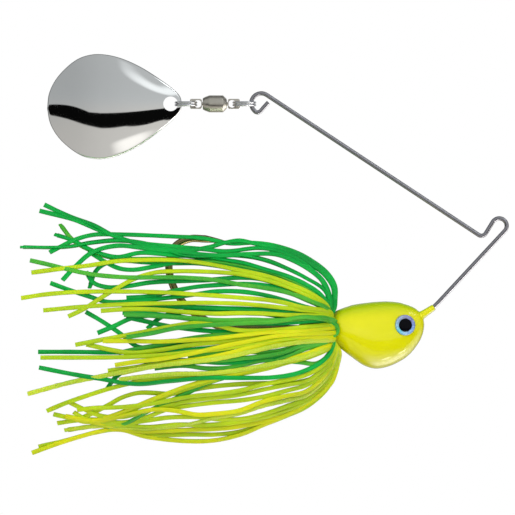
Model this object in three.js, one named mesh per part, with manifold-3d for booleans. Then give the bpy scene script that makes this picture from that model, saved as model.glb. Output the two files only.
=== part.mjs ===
// A spinnerbait: a bent wire frame that carries a lead head, hook and silicone skirt on its lower arm,
// and a split ring, ball-bearing swivel, second split ring and teardrop blade on its upper arm.
//
// Millimetres, +Z up. The origin is the line tie: the centre of the tight bend at the front of the wire.
// +X points forward, the way the lure is pulled, and Y = 0 is the plane in which the wire and hook lie.

import * as THREE from 'three';
import { mergeVertices } from 'three/addons/utils/BufferGeometryUtils.js';
import Module from 'manifold-3d';

const wasm = await Module();
wasm.setup();

const TURN = 2 * Math.PI;
const QUARTER = Math.PI / 2;
const MOVING_GAP = 0.06;

// ---- Driving dimensions ---------------------------------------------------------------------------

// Wire frame: one length of spring wire. Each bend is a centre, a centreline radius and a turn, +1 when
// it turns anticlockwise seen from -Y and -1 when it turns clockwise, in order from the cut end.
const WIRE_RADIUS = 0.465;
const LOOP = { x: -50.4, z: 25.95, radius: 2.12, turn: -1 };
const WIRE_BENDS = [
  { x: -48.87, z: 26.2, radius: 0, turn: 1 },
  { x: -51.17, z: 24.84, radius: 0.8, turn: -1 },
  LOOP,
  { x: -3.75, z: -1.05, radius: 1.05, turn: 1 },
  { x: 0, z: 0, radius: 1.59, turn: -1 },
  { x: -23.1, z: -6.65, radius: 14, turn: -1 },
];
const WIRE_END_HEADING = -168;
const WIDE_BEND_RADIUS = 5;

// Head: a lead casting lofted through oval sections, nose first: x, top, bottom, half width.
const HEAD_NOSE = { x: -15.85, z: -20.9 };
const HEAD_SECTIONS = [
  [-16.1, -19.6, -22.6, 0.95],
  [-16.8, -18.35, -24.3, 1.8],
  [-17.9, -17.4, -26.0, 2.6],
  [-19.4, -16.75, -27.6, 3.35],
  [-21.4, -16.2, -28.9, 4.0],
  [-23.8, -16.0, -29.9, 4.4],
  [-26.3, -16.1, -30.25, 4.55],
  [-28.6, -16.35, -29.6, 4.5],
  [-30.6, -16.65, -28.3, 4.3],
  [-32.4, -17.05, -26.9, 4.0],
  [-33.6, -17.7, -25.9, 3.7],
  [-34.3, -18.6, -25.5, 3.3],
  [-34.7, -19.9, -24.7, 2.5],
];
const STUB = { from: [-13.8, -17.2], to: [-17.4, -19.6], tipRadius: 0.64, rootRadius: 1.0 };
const CAST_GAP = 0.05;

// How finely the round shapes are faceted: sides round them, and degrees along the wire's bends.
const SIDES = {
  wire: 10, hook: 10, hookEye: 16, hookEyeWire: 7, hookPoint: 9, barb: 5, head: 24, stub: 16, keeper: 20,
  eye: 24, pupil: 20, collar: 32, barrel: 24, stem: 16, stemHead: 20, ringWire: 6, bladeHole: 24,
  ballRound: 9, ballDown: 6,
};
const WIRE_FACET = { tight: 12, wide: 5 };

// Eyes: an iris disc with a raised rim and a domed pupil, in a pocket on each cheek.
const EYE = { x: -20.0, z: -21.0, radius: 2.15, faceY: 3.62, depth: 1.1, toeIn: 14 };
const EYE_POCKET_HEIGHT = 4;
const IRIS = { shoulder: 0.3, rim: 0.46, rimInset: 0.2, lip: 0.4, lipInset: 0.5, floor: 0.32, wellTop: 0.12 };
const IRIS_WELL_GAP = 0.08;
const PUPIL_RADIUS = 1.35;
const PUPIL = { edge: 0.34, crown: 0.24, steps: 4 };

// Skirt keeper, the ribbed tail of the casting, and the collar that pinches the strands on it.
const SKIRT_Z = -22.3;
const KEEPER = { front: -34.4, rear: -42.4, radius: 1.62 };
const KEEPER_RIDGE = { count: 4, radius: 1.8, ramp: 0.5, heel: 0.15 };
const KEEPER_CHAMFER = { length: 0.3, depth: 0.2 };
const COLLAR = { front: -36.7, rear: -41.6, inner: 2.87, outer: 3.55, rounding: 0.22 };

// Strands: flat silicone ribbons in two layers under the collar. Profiles are x and distance from the
// skirt's axis. The front set leaves the collar forwards and folds back over it, the rear set trails.
const STRAND = { count: 16, width: 0.9, thickness: 0.4, layers: [2.06, 2.56], parting: -39.15, endGap: 0.15 };
// Where the inner and the outer layer of the front set leave the collar, lift and stand up to fold back.
const FRONT_NECK = {
  mouth: [-36.5, -36.75], lift: [-35.85, -36.15], liftBy: 0.4, fold: [-35.6, -35.95], foldReach: 3.9,
};
const FRONT_OVER_TOP = [
  [-34.95, 6.2], [-34.75, 8.6], [-35.6, 11.4], [-38.2, 14.3], [-42.2, 16.7], [-47.5, 18.4],
  [-55, 19.2], [-64, 19.7], [-76, 20.2], [-88, 19.0], [-102, 18.0],
];
const FRONT_UNDER_BELLY = [
  [-34.85, 6.3], [-35.1, 9.2], [-36.8, 12.3], [-40.2, 15.3], [-45.2, 18.2], [-51, 20.4],
  [-58, 22.4], [-66, 23.0], [-76, 22.2], [-86, 22.0], [-102, 26.6],
];
const REAR_PROFILE = [
  [-43.2, 2.6], [-47, 4.0], [-51.5, 5.9], [-57, 8.0], [-65, 10.6], [-74, 12.6], [-84, 13.6], [-98, 14.2],
];
const SIDE_FLATTENING = 0.24;
const REAR_FIRST_AZIMUTH = 30;
// Dyes: the front strands nearest the top are green, and every third rear strand is leaf green.
const GREEN_EACH_SIDE = 3;
const LEAF_STEP = 3;
// Strand ends are scattered about a mean length by a sine that steps on from strand to strand.
const FRONT_TIPS = { mean: -89.5, spread: 12, phase: 1.1 };
const REAR_TIPS = { mean: -84, spread: 10, phase: 0 };
const TIP_STEP = 2.4;

// Hook: shank, round bend and barbed point, with its eye cast into the head.
const HOOK = { radius: 0.8, shankZ: -21.8, eyeX: -24.3, eyeRadius: 1.3, eyeWire: 0.55, bendStart: -57.5 };
const HOOK_BEND_LEAD = 4;
const HOOK_BEND_STATIONS = 28;
const HOOK_BEND = [
  [-61.9, -20.1], [-66.2, -17.1], [-69.2, -12.4], [-69.95, -8.0], [-68.7, -4.4], [-65.6, -2.75],
  [-62.4, -2.75],
];
const HOOK_POINT = { root: [-63.3, -2.76], tip: [-57.7, -3.35], radius: 0.73 };
const BARB = { root: [-59.7, -3.4], tip: [-61.3, -4.9], radius: 0.36 };
const SHARP_RADIUS = 0.05;

// Swivel: a barrel with an eye fixed in its front end and an eye that runs on balls in its rear end.
const CHAIN_Z = 25.85;
const BARREL = { front: -57.7, rear: -62.8, radius: 1.8, frontRadius: 1.0, rearRadius: 1.2 };
const BARREL_CONES = { front: 0.8, rear: 1.4, rearStep: 0.5, rearStepRadius: 1.46 };
const BARREL_BORE = { radius: 1.32, front: -58.6, rear: -61.8, frontHole: 0.52, rearHole: 0.52 };
const SWIVEL_EYE = { length: 2.5, height: 2.1, thickness: 0.9, corner: 0.35, hole: 0.75, offset: 0.4 };
const SWIVEL_STEM = { radius: 0.42, root: 0.1, frontEnd: -59.0, rearEnd: -60.7 };
const STEM_HEAD = { radius: 1.05, depth: 0.42 };
const SWIVEL_CURVE_SEGMENTS = 6;
const FRONT_EYE_HOLE = -56.6;
const REAR_EYE_HOLE = -63.85;
const BALL = { count: 6, radius: 0.28, x: -61.4, orbit: 0.85 };

// Split rings: two turns of round wire, side by side, stepped across each other at one place.
const RING_WIRE = 0.25;
const COIL_OFFSET = 0.27;
const HOLE_OFFSET = 0.33;
const ARM_RING_REACH = 1.3;
const BLADE_RING_END = -68.45;
const RING_STEP = { halfSpan: 22, place: 75 };
const RING_FACETS = 48;

// Blade: a cupped teardrop with a hole near its narrow end. Points are distance from the tip, half width.
const BLADE = { tip: -67.2, thickness: 0.64, cup: 3.9, droop: 2.2, hub: 17.2 };
const BLADE_SHOULDER = { start: 1.2, end: 9 };
const BLADE_RINGS = [0.2, 0.4, 0.58, 0.74, 0.88, 1];
const BLADE_HALF_STATIONS = 22;
const PUNCH_LENGTH = 8;
const BLADE_HOLE = { x: -69.6, radius: 1.5 };
const BLADE_HALF_OUTLINE = [
  [0, 0], [0.3, 1.45], [1.5, 2.9], [4.3, 5.2], [8.5, 8.1], [12.6, 10.1],
  [16.0, 11.0], [18.6, 11.1], [21.4, 10.4], [24.0, 8.7], [26.6, 6.0], [28.1, 3.1], [28.6, 0],
];

// ---- Materials ------------------------------------------------------------------------------------

const LOOKS = {
  wire: [0xb9bcc0, 0.28, 1.0],
  paint: [0xe9e400, 0.18, 0.0],
  iris: [0x8fb4e6, 0.25, 0.1],
  pupil: [0x08080a, 0.12, 0.0],
  bronze: [0x2a2119, 0.22, 1.0],
  collar: [0xa9b526, 0.5, 0.0],
  green: [0x0a9a3c, 0.38, 0.0],
  leaf: [0x50b432, 0.38, 0.0],
  chartreuse: [0xb4d21e, 0.38, 0.0],
  nickel: [0x8f8d86, 0.42, 1.0],
  steel: [0xc4c6c8, 0.25, 1.0],
  chrome: [0xe4e6e8, 0.06, 1.0],
};

function look(name) {
  const [color, roughness, metalness] = LOOKS[name];
  return new THREE.MeshStandardMaterial({ color, roughness, metalness });
}

// ---- Solids ---------------------------------------------------------------------------------------

function solidOf(geometry) {
  const bare = geometry.clone();
  bare.deleteAttribute('normal');
  bare.deleteAttribute('uv');
  const merged = mergeVertices(bare, 1e-5);
  return new wasm.Manifold(new wasm.Mesh({
    numProp: 3,
    vertProperties: new Float32Array(merged.attributes.position.array),
    triVerts: new Uint32Array(merged.index.array),
  }));
}

function geometryOf(solid) {
  const mesh = solid.getMesh();
  const geometry = new THREE.BufferGeometry();
  geometry.setAttribute('position', new THREE.BufferAttribute(mesh.vertProperties, 3));
  geometry.setIndex(new THREE.BufferAttribute(mesh.triVerts, 1));
  geometry.computeVertexNormals();
  return geometry;
}

function joined(geometries) {
  return geometries.map(solidOf).reduce((whole, next) => whole.add(next));
}

// ---- Curves and tubes -----------------------------------------------------------------------------

// A path whose sections stand exactly at the given stations, with an optional fixed width direction.
class StationPath extends THREE.Curve {
  constructor(stations, widthDirection = null) {
    super();
    this.stations = stations;
    this.widthDirection = widthDirection;
  }

  getPoint(t, target = new THREE.Vector3()) {
    const last = this.stations.length - 1;
    const place = Math.min(Math.max(t, 0), 1) * last;
    const index = Math.min(Math.floor(place), last - 1);
    return target.lerpVectors(this.stations[index], this.stations[index + 1], place - index);
  }

  getPointAt(u, target) {
    return this.getPoint(u, target);
  }

  tangentAtStation(index) {
    const last = this.stations.length - 1;
    const before = this.stations[Math.max(index - 1, 0)];
    const here = this.stations[index];
    const after = this.stations[Math.min(index + 1, last)];
    const incoming = here.clone().sub(before).normalize();
    const outgoing = after.clone().sub(here).normalize();
    return incoming.add(outgoing).normalize();
  }

  getTangentAt(u, target = new THREE.Vector3()) {
    return target.copy(this.tangentAtStation(Math.round(u * (this.stations.length - 1))));
  }

  computeFrenetFrames(segments, closed) {
    if (!this.widthDirection) {
      return super.computeFrenetFrames(segments, closed);
    }
    const tangents = this.stations.map((_, index) => this.tangentAtStation(index));
    const normals = tangents.map(() => this.widthDirection.clone());
    const binormals = tangents.map((tangent, index) => tangent.clone().cross(normals[index]).normalize());
    return { tangents, normals, binormals };
  }
}

function polygonSection(radius, sides) {
  const section = new THREE.Shape();
  for (let side = 0; side < sides; side += 1) {
    const angle = (TURN * (side + 0.5)) / sides;
    const corner = [radius * Math.cos(angle), radius * Math.sin(angle)];
    if (side === 0) {
      section.moveTo(...corner);
    } else {
      section.lineTo(...corner);
    }
  }
  section.closePath();
  return section;
}

function tube(stations, radius, sides) {
  return new THREE.ExtrudeGeometry(polygonSection(radius, sides), {
    steps: stations.length - 1,
    extrudePath: new StationPath(stations),
    bevelEnabled: false,
  });
}

function ribbon(stations, widthDirection) {
  const halfWidth = STRAND.width / 2;
  const halfThickness = STRAND.thickness / 2;
  const section = new THREE.Shape([
    new THREE.Vector2(-halfWidth, -halfThickness),
    new THREE.Vector2(halfWidth, -halfThickness),
    new THREE.Vector2(halfWidth, halfThickness),
    new THREE.Vector2(-halfWidth, halfThickness),
  ]);
  return new THREE.ExtrudeGeometry(section, {
    steps: stations.length - 1,
    extrudePath: new StationPath(stations, widthDirection),
    bevelEnabled: false,
  });
}

// A straight round bar or cone from one point of the middle plane to another.
function rod(from, to, fromRadius, toRadius, sides) {
  const start = new THREE.Vector3(from[0], 0, from[1]);
  const end = new THREE.Vector3(to[0], 0, to[1]);
  const run = end.clone().sub(start);
  const geometry = new THREE.CylinderGeometry(toRadius, fromRadius, run.length(), sides);
  const turn = new THREE.Quaternion().setFromUnitVectors(new THREE.Vector3(0, 1, 0), run.clone().normalize());
  geometry.applyQuaternion(turn);
  geometry.translate(...start.add(end).multiplyScalar(0.5));
  return geometry;
}

// A body turned about a line parallel to X, from points of x and radius. Both ends lie on that line,
// or the last point repeats the first and the body is hollow.
function turned(points, segments, z) {
  const profile = points.map(([x, radius]) => new THREE.Vector2(radius, -x));
  const geometry = new THREE.LatheGeometry(profile, segments);
  geometry.rotateZ(QUARTER);
  geometry.translate(0, 0, z);
  return geometry;
}

// ---- Wire frame -----------------------------------------------------------------------------------

// The heading of the straight run that leaves one bend and meets the next, touching both.
function runHeading(from, to) {
  const span = Math.hypot(to.x - from.x, to.z - from.z);
  const bearing = Math.atan2(to.z - from.z, to.x - from.x);
  return bearing - Math.asin((to.turn * to.radius - from.turn * from.radius) / span);
}

function wireStations() {
  const headings = WIRE_BENDS.slice(1).map((bend, index) => runHeading(WIRE_BENDS[index], bend));
  headings.push(THREE.MathUtils.degToRad(WIRE_END_HEADING));
  const stations = [new THREE.Vector3(WIRE_BENDS[0].x, 0, WIRE_BENDS[0].z)];
  WIRE_BENDS.slice(1).forEach((bend, index) => {
    const arriving = headings[index];
    const turnAngle = (bend.turn * (headings[index + 1] - arriving) + 2 * TURN) % TURN;
    const facet = bend.radius > WIDE_BEND_RADIUS ? WIRE_FACET.wide : WIRE_FACET.tight;
    const steps = Math.max(2, Math.ceil(turnAngle / THREE.MathUtils.degToRad(facet)));
    for (let step = 0; step <= steps; step += 1) {
      const heading = arriving + (bend.turn * turnAngle * step) / steps;
      stations.push(new THREE.Vector3(
        bend.x + bend.turn * bend.radius * Math.sin(heading),
        0,
        bend.z - bend.turn * bend.radius * Math.cos(heading),
      ));
    }
  });
  return stations;
}

function wireTube(radius) {
  return tube(wireStations(), radius, SIDES.wire);
}

// ---- Hook -----------------------------------------------------------------------------------------

function hookStations() {
  const bend = new THREE.CatmullRomCurve3([
    new THREE.Vector3(HOOK.bendStart + HOOK_BEND_LEAD, 0, HOOK.shankZ),
    new THREE.Vector3(HOOK.bendStart, 0, HOOK.shankZ),
    ...HOOK_BEND.map(([x, z]) => new THREE.Vector3(x, 0, z)),
  ]);
  const shankFront = new THREE.Vector3(HOOK.eyeX - HOOK.eyeRadius, 0, HOOK.shankZ);
  return [shankFront, ...bend.getSpacedPoints(HOOK_BEND_STATIONS)];
}

function hookSolid(gap) {
  const eye = new THREE.TorusGeometry(HOOK.eyeRadius, HOOK.eyeWire + gap, SIDES.hookEyeWire, SIDES.hookEye);
  eye.rotateX(QUARTER);
  eye.translate(HOOK.eyeX, 0, HOOK.shankZ);
  const pieces = [tube(hookStations(), HOOK.radius + gap, SIDES.hook), eye];
  if (gap === 0) {
    pieces.push(rod(HOOK_POINT.root, HOOK_POINT.tip, HOOK_POINT.radius, SHARP_RADIUS, SIDES.hookPoint));
    pieces.push(rod(BARB.root, BARB.tip, BARB.radius, SHARP_RADIUS, SIDES.barb));
  }
  return joined(pieces);
}

// ---- Head and eyes --------------------------------------------------------------------------------

// A closed skin through oval sections from a nose point to a flat rear face.
function loft(nose, sections, sides) {
  const positions = [nose.x, 0, nose.z];
  const faces = [];
  const corner = (ring, side) => 1 + ring * sides + (side % sides);
  sections.forEach(([x, top, bottom, halfWidth]) => {
    const middle = (top + bottom) / 2;
    for (let side = 0; side < sides; side += 1) {
      const angle = (TURN * side) / sides;
      positions.push(x, halfWidth * Math.sin(angle), middle + (top - middle) * Math.cos(angle));
    }
  });
  const [rearX, rearTop, rearBottom] = sections[sections.length - 1];
  positions.push(rearX, 0, (rearTop + rearBottom) / 2);
  const rearCentre = 1 + sections.length * sides;
  for (let side = 0; side < sides; side += 1) {
    faces.push(0, corner(0, side + 1), corner(0, side));
    for (let ring = 0; ring + 1 < sections.length; ring += 1) {
      faces.push(corner(ring, side), corner(ring + 1, side + 1), corner(ring + 1, side));
      faces.push(corner(ring, side), corner(ring, side + 1), corner(ring + 1, side + 1));
    }
    faces.push(rearCentre, corner(sections.length - 1, side), corner(sections.length - 1, side + 1));
  }
  const geometry = new THREE.BufferGeometry();
  geometry.setAttribute('position', new THREE.Float32BufferAttribute(positions, 3));
  geometry.setIndex(faces);
  return geometry;
}

function keeper() {
  const { front, rear, radius } = KEEPER;
  const { count, radius: crest, ramp, heel } = KEEPER_RIDGE;
  const points = [[front, 0], [front, radius]];
  for (let ridge = 1; ridge <= count; ridge += 1) {
    const x = front - (ridge * (front - rear)) / (count + 1);
    points.push([x + ramp, radius], [x, crest], [x - heel, radius]);
  }
  points.push([rear + KEEPER_CHAMFER.length, radius], [rear, radius - KEEPER_CHAMFER.depth], [rear, 0]);
  return turned(points, SIDES.keeper, SKIRT_Z);
}

// A piece turned about Y at the origin, moved to an eye's place: side is -1 for the left, +1 the right.
function placedAtEye(geometry, side) {
  const placed = geometry.clone();
  if (side < 0) {
    placed.rotateZ(Math.PI);
  }
  placed.rotateZ(-side * THREE.MathUtils.degToRad(EYE.toeIn));
  placed.translate(EYE.x, side * EYE.faceY, EYE.z);
  return placed;
}

function eyePocket(side) {
  const radius = EYE.radius + CAST_GAP;
  const pocket = new THREE.CylinderGeometry(radius, radius, EYE_POCKET_HEIGHT, SIDES.eye);
  pocket.translate(0, EYE_POCKET_HEIGHT / 2 - EYE.depth, 0);
  return solidOf(placedAtEye(pocket, side));
}

function headSolid() {
  const cast = joined([
    loft(HEAD_NOSE, HEAD_SECTIONS, SIDES.head),
    rod(STUB.from, STUB.to, STUB.tipRadius, STUB.rootRadius, SIDES.stub),
    keeper(),
  ]);
  return cast
    .subtract(solidOf(wireTube(WIRE_RADIUS + CAST_GAP)))
    .subtract(hookSolid(CAST_GAP))
    .subtract(eyePocket(-1))
    .subtract(eyePocket(1));
}

function irisDisc() {
  const points = [
    [0, -EYE.depth + CAST_GAP],
    [EYE.radius, -EYE.depth + CAST_GAP],
    [EYE.radius, IRIS.shoulder],
    [EYE.radius - IRIS.rimInset, IRIS.rim],
    [EYE.radius - IRIS.lipInset, IRIS.lip],
    [PUPIL_RADIUS + IRIS.wellTop, IRIS.floor],
    [PUPIL_RADIUS + IRIS_WELL_GAP, 0],
    [0, 0],
  ];
  return new THREE.LatheGeometry(points.map(([radius, y]) => new THREE.Vector2(radius, y)), SIDES.eye);
}

function pupilDome() {
  const { edge, crown, steps } = PUPIL;
  const points = [new THREE.Vector2(0, CAST_GAP), new THREE.Vector2(PUPIL_RADIUS, CAST_GAP)];
  for (let step = 0; step <= steps; step += 1) {
    const lean = (QUARTER * step) / steps;
    const radius = step === steps ? 0 : PUPIL_RADIUS * Math.cos(lean);
    points.push(new THREE.Vector2(radius, edge + crown * Math.sin(lean)));
  }
  return new THREE.LatheGeometry(points, SIDES.pupil);
}

// ---- Skirt ----------------------------------------------------------------------------------------

function collarBand() {
  const { front, rear, inner, outer, rounding } = COLLAR;
  return turned([
    [front, inner],
    [front, outer - rounding],
    [front - rounding, outer],
    [rear + rounding, outer],
    [rear, outer - rounding],
    [rear, inner],
    [front, inner],
  ], SIDES.collar, SKIRT_Z);
}

// The part of a smooth profile between the collar and x = tip, as stations in one plane through the axis.
function strandStations(profile, tip, azimuth) {
  const curve = new THREE.CatmullRomCurve3(profile.map(([x, reach]) => new THREE.Vector3(x, reach, 0)));
  const samples = curve.getPoints(2 * (profile.length - 1));
  const folded = samples.findIndex((point) => point.x < tip);
  const kept = folded < 0 ? samples : samples.slice(0, folded);
  return kept.map(({ x, y: reach }) => new THREE.Vector3(
    x,
    reach * Math.sin(azimuth),
    SKIRT_Z + reach * Math.cos(azimuth),
  ));
}

function widthAcross(azimuth) {
  return new THREE.Vector3(0, Math.cos(azimuth), -Math.sin(azimuth));
}

function tipX({ mean, spread, phase }, index) {
  return mean - spread * Math.sin(TIP_STEP * index + phase);
}

function frontStrand(index) {
  const azimuth = (TURN * (index + 0.5)) / STRAND.count;
  const layerNumber = index % 2;
  const layer = STRAND.layers[layerNumber];
  const share = (1 + Math.cos(azimuth)) / 2;
  const narrowing = 1 - SIDE_FLATTENING * Math.sin(azimuth) ** 2;
  const open = FRONT_OVER_TOP.map(([x, reach], at) => {
    const [lowX, lowReach] = FRONT_UNDER_BELLY[at];
    return [
      THREE.MathUtils.lerp(lowX, x, share),
      THREE.MathUtils.lerp(lowReach, reach, share) * (at === 0 ? 1 : narrowing),
    ];
  });
  const profile = [
    [STRAND.parting + STRAND.endGap, layer],
    [FRONT_NECK.mouth[layerNumber], layer],
    [FRONT_NECK.lift[layerNumber], layer + FRONT_NECK.liftBy],
    [FRONT_NECK.fold[layerNumber], FRONT_NECK.foldReach],
    ...open,
  ];
  return ribbon(strandStations(profile, tipX(FRONT_TIPS, index), azimuth), widthAcross(azimuth));
}

function rearStrand(index) {
  const sweep = 360 - 2 * REAR_FIRST_AZIMUTH;
  const degrees = REAR_FIRST_AZIMUTH + (sweep * index) / (STRAND.count - 1);
  const azimuth = THREE.MathUtils.degToRad(degrees);
  const layer = STRAND.layers[index % 2];
  const profile = [
    [STRAND.parting - STRAND.endGap, layer],
    [COLLAR.rear, layer],
    ...REAR_PROFILE.map(([x, reach]) => [x, reach + layer - STRAND.layers[0]]),
  ];
  return ribbon(strandStations(profile, tipX(REAR_TIPS, index), azimuth), widthAcross(azimuth));
}

// ---- Split rings ----------------------------------------------------------------------------------

function ringStations(centreX, radius) {
  const stepAngle = THREE.MathUtils.degToRad(RING_STEP.halfSpan);
  const stepPlace = THREE.MathUtils.degToRad(RING_STEP.place);
  const total = 2 * TURN - 2 * stepAngle;
  const stations = [];
  for (let facet = 0; facet <= RING_FACETS; facet += 1) {
    const along = stepAngle + (total * facet) / RING_FACETS;
    const climb = THREE.MathUtils.clamp((along - TURN + stepAngle) / (2 * stepAngle), 0, 1);
    const angle = stepPlace + along;
    stations.push(new THREE.Vector3(
      centreX + radius * Math.cos(angle),
      radius * Math.sin(angle),
      CHAIN_Z + COIL_OFFSET * (2 * THREE.MathUtils.smoothstep(climb, 0, 1) - 1),
    ));
  }
  return stations;
}

function splitRing(frontX, rearX) {
  return tube(ringStations((frontX + rearX) / 2, (frontX - rearX) / 2), RING_WIRE, SIDES.ringWire);
}

// ---- Swivel ---------------------------------------------------------------------------------------

function barrelShell() {
  return turned([
    [BARREL.front, BARREL_BORE.frontHole],
    [BARREL.front, BARREL.frontRadius],
    [BARREL.front - BARREL_CONES.front, BARREL.radius],
    [BARREL.rear + BARREL_CONES.rear, BARREL.radius],
    [BARREL.rear + BARREL_CONES.rearStep, BARREL_CONES.rearStepRadius],
    [BARREL.rear, BARREL.rearRadius],
    [BARREL.rear, BARREL_BORE.rearHole],
    [BARREL_BORE.rear, BARREL_BORE.rearHole],
    [BARREL_BORE.rear, BARREL_BORE.radius],
    [BARREL_BORE.front, BARREL_BORE.radius],
    [BARREL_BORE.front, BARREL_BORE.frontHole],
    [BARREL.front, BARREL_BORE.frontHole],
  ], SIDES.barrel, CHAIN_Z);
}

// An eye block with its hole along Y, a stem into the barrel and the upset head that holds it there.
// facing is +1 when the block is in front of the barrel and -1 when it is behind.
function swivelEye(holeX, facing, stemEnd, headFace) {
  const { length, height, thickness, corner, hole, offset } = SWIVEL_EYE;
  const shape = new THREE.Shape();
  shape.moveTo(-length / 2 + corner, -height / 2);
  shape.lineTo(length / 2 - corner, -height / 2);
  shape.absarc(length / 2 - corner, -height / 2 + corner, corner, -QUARTER, 0);
  shape.absarc(length / 2 - corner, height / 2 - corner, corner, 0, QUARTER);
  shape.absarc(-length / 2 + corner, height / 2 - corner, corner, QUARTER, Math.PI);
  shape.absarc(-length / 2 + corner, -height / 2 + corner, corner, Math.PI, 3 * QUARTER);
  shape.holes.push(new THREE.Path().absarc(-facing * offset, 0, hole, 0, TURN, true));
  const block = new THREE.ExtrudeGeometry(shape, {
    depth: thickness,
    bevelEnabled: false,
    curveSegments: SWIVEL_CURVE_SEGMENTS,
  });
  block.translate(0, 0, -thickness / 2);
  block.rotateX(QUARTER);
  block.translate(holeX + facing * offset, 0, CHAIN_Z);
  const { radius, root } = SWIVEL_STEM;
  const stemStart = holeX - facing * (hole + root);
  const headBack = headFace - facing * STEM_HEAD.depth;
  return geometryOf(joined([
    block,
    rod([stemStart, CHAIN_Z], [stemEnd, CHAIN_Z], radius, radius, SIDES.stem),
    rod([headFace, CHAIN_Z], [headBack, CHAIN_Z], STEM_HEAD.radius, STEM_HEAD.radius, SIDES.stemHead),
  ]));
}

// ---- Blade ----------------------------------------------------------------------------------------

function bladeOutline() {
  const corners = BLADE_HALF_OUTLINE.map(([along, width]) => new THREE.Vector2(along, width));
  const half = new THREE.SplineCurve(corners);
  const upper = half.getSpacedPoints(BLADE_HALF_STATIONS);
  const lower = upper.slice(1, -1).reverse().map(({ x, y }) => new THREE.Vector2(x, -y));
  return [...upper, ...lower];
}

// Height of the cup at a place: deepest at the hub, flat round the hole, none at the rim.
function cupAt(share, along) {
  const lift = THREE.MathUtils.smoothstep(along, BLADE_SHOULDER.start, BLADE_SHOULDER.end);
  return BLADE.cup * (1 - share ** 2) * lift;
}

function bladeSolid() {
  const outline = bladeOutline();
  const positions = [];
  const faces = [];
  const rings = BLADE_RINGS.length;
  const around = outline.length;
  const layerSize = 1 + rings * around;
  [-1, 1].forEach((face) => {
    const place = (along, width, share) => {
      positions.push(BLADE.tip - along, face * (BLADE.thickness / 2) - cupAt(share, along), CHAIN_Z + width);
    };
    place(BLADE.hub, 0, 0);
    BLADE_RINGS.forEach((share) => outline.forEach((point) => {
      place(BLADE.hub + (point.x - BLADE.hub) * share, point.y * share, share);
    }));
  });
  const addFace = (a, b, c, face) => (face > 0 ? faces.push(a, c, b) : faces.push(a, b, c));
  for (let step = 0; step < around; step += 1) {
    const next = (step + 1) % around;
    [-1, 1].forEach((face, layer) => {
      const at = (ring, turn) => layer * layerSize + 1 + ring * around + turn;
      addFace(layer * layerSize, at(0, step), at(0, next), face);
      for (let ring = 0; ring + 1 < rings; ring += 1) {
        addFace(at(ring, step), at(ring + 1, step), at(ring + 1, next), face);
        addFace(at(ring, step), at(ring + 1, next), at(ring, next), face);
      }
    });
    const rim = 1 + (rings - 1) * around;
    faces.push(rim + step, layerSize + rim + next, rim + next);
    faces.push(rim + step, layerSize + rim + step, layerSize + rim + next);
  }
  const sheet = new THREE.BufferGeometry();
  sheet.setAttribute('position', new THREE.Float32BufferAttribute(positions, 3));
  sheet.setIndex(faces);
  const { x, radius } = BLADE_HOLE;
  const hole = new THREE.CylinderGeometry(radius, radius, PUNCH_LENGTH, SIDES.bladeHole);
  hole.translate(x, 0, CHAIN_Z);
  const blade = geometryOf(solidOf(sheet).subtract(solidOf(hole)));
  blade.translate(-x, 0, -CHAIN_Z);
  return blade;
}

// ---- Assembly -------------------------------------------------------------------------------------

const group = new THREE.Group();

function addPiece(parent, name, geometry, lookName) {
  const mesh = new THREE.Mesh(geometry, look(lookName));
  mesh.name = name;
  parent.add(mesh);
  return mesh;
}

function numbered(name, index) {
  return `${name}_${String(index + 1).padStart(2, '0')}`;
}

addPiece(group, 'wire_frame', wireTube(WIRE_RADIUS), 'wire');
addPiece(group, 'head_casting', geometryOf(headSolid()), 'paint');
addPiece(group, 'hook', geometryOf(hookSolid(0)), 'bronze');
[['left', -1], ['right', 1]].forEach(([sideName, side]) => {
  addPiece(group, `eye_iris_${sideName}`, placedAtEye(irisDisc(), side), 'iris');
  addPiece(group, `eye_pupil_${sideName}`, placedAtEye(pupilDome(), side), 'pupil');
});

const skirt = new THREE.Group();
group.add(skirt);
addPiece(skirt, 'skirt_collar', collarBand(), 'collar');
for (let index = 0; index < STRAND.count; index += 1) {
  const nearTop = index < GREEN_EACH_SIDE || index >= STRAND.count - GREEN_EACH_SIDE;
  const frontDye = nearTop ? 'green' : 'chartreuse';
  const rearDye = index % LEAF_STEP ? 'chartreuse' : 'leaf';
  addPiece(skirt, numbered('skirt_front_strand', index), frontStrand(index), frontDye);
  addPiece(skirt, numbered('skirt_rear_strand', index), rearStrand(index), rearDye);
}

const chain = new THREE.Group();
group.add(chain);
const armRingRear = FRONT_EYE_HOLE + HOLE_OFFSET;
const bladeRingFront = REAR_EYE_HOLE - HOLE_OFFSET;
addPiece(chain, 'arm_split_ring', splitRing(LOOP.x - ARM_RING_REACH, armRingRear), 'steel');
addPiece(chain, 'swivel_barrel', barrelShell(), 'nickel');
const frontHead = BARREL_BORE.front - MOVING_GAP;
const rearHead = BALL.x + BALL.radius + MOVING_GAP;
const frontEye = swivelEye(FRONT_EYE_HOLE, 1, SWIVEL_STEM.frontEnd, frontHead);
const rearEye = swivelEye(REAR_EYE_HOLE, -1, SWIVEL_STEM.rearEnd, rearHead);
addPiece(chain, 'swivel_front_eye', frontEye, 'nickel');
addPiece(chain, 'swivel_rear_eye', rearEye, 'nickel');
for (let index = 0; index < BALL.count; index += 1) {
  const angle = (TURN * index) / BALL.count;
  const sphere = new THREE.SphereGeometry(BALL.radius, SIDES.ballRound, SIDES.ballDown);
  const ball = addPiece(chain, numbered('swivel_ball', index), sphere, 'steel');
  ball.position.set(BALL.x, BALL.orbit * Math.sin(angle), CHAIN_Z + BALL.orbit * Math.cos(angle));
}
addPiece(chain, 'blade_split_ring', splitRing(bladeRingFront, BLADE_RING_END), 'steel');
const blade = addPiece(chain, 'spinner_blade', bladeSolid(), 'chrome');
blade.position.set(BLADE_HOLE.x, 0, CHAIN_Z);
blade.rotation.y = -THREE.MathUtils.degToRad(BLADE.droop);

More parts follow.
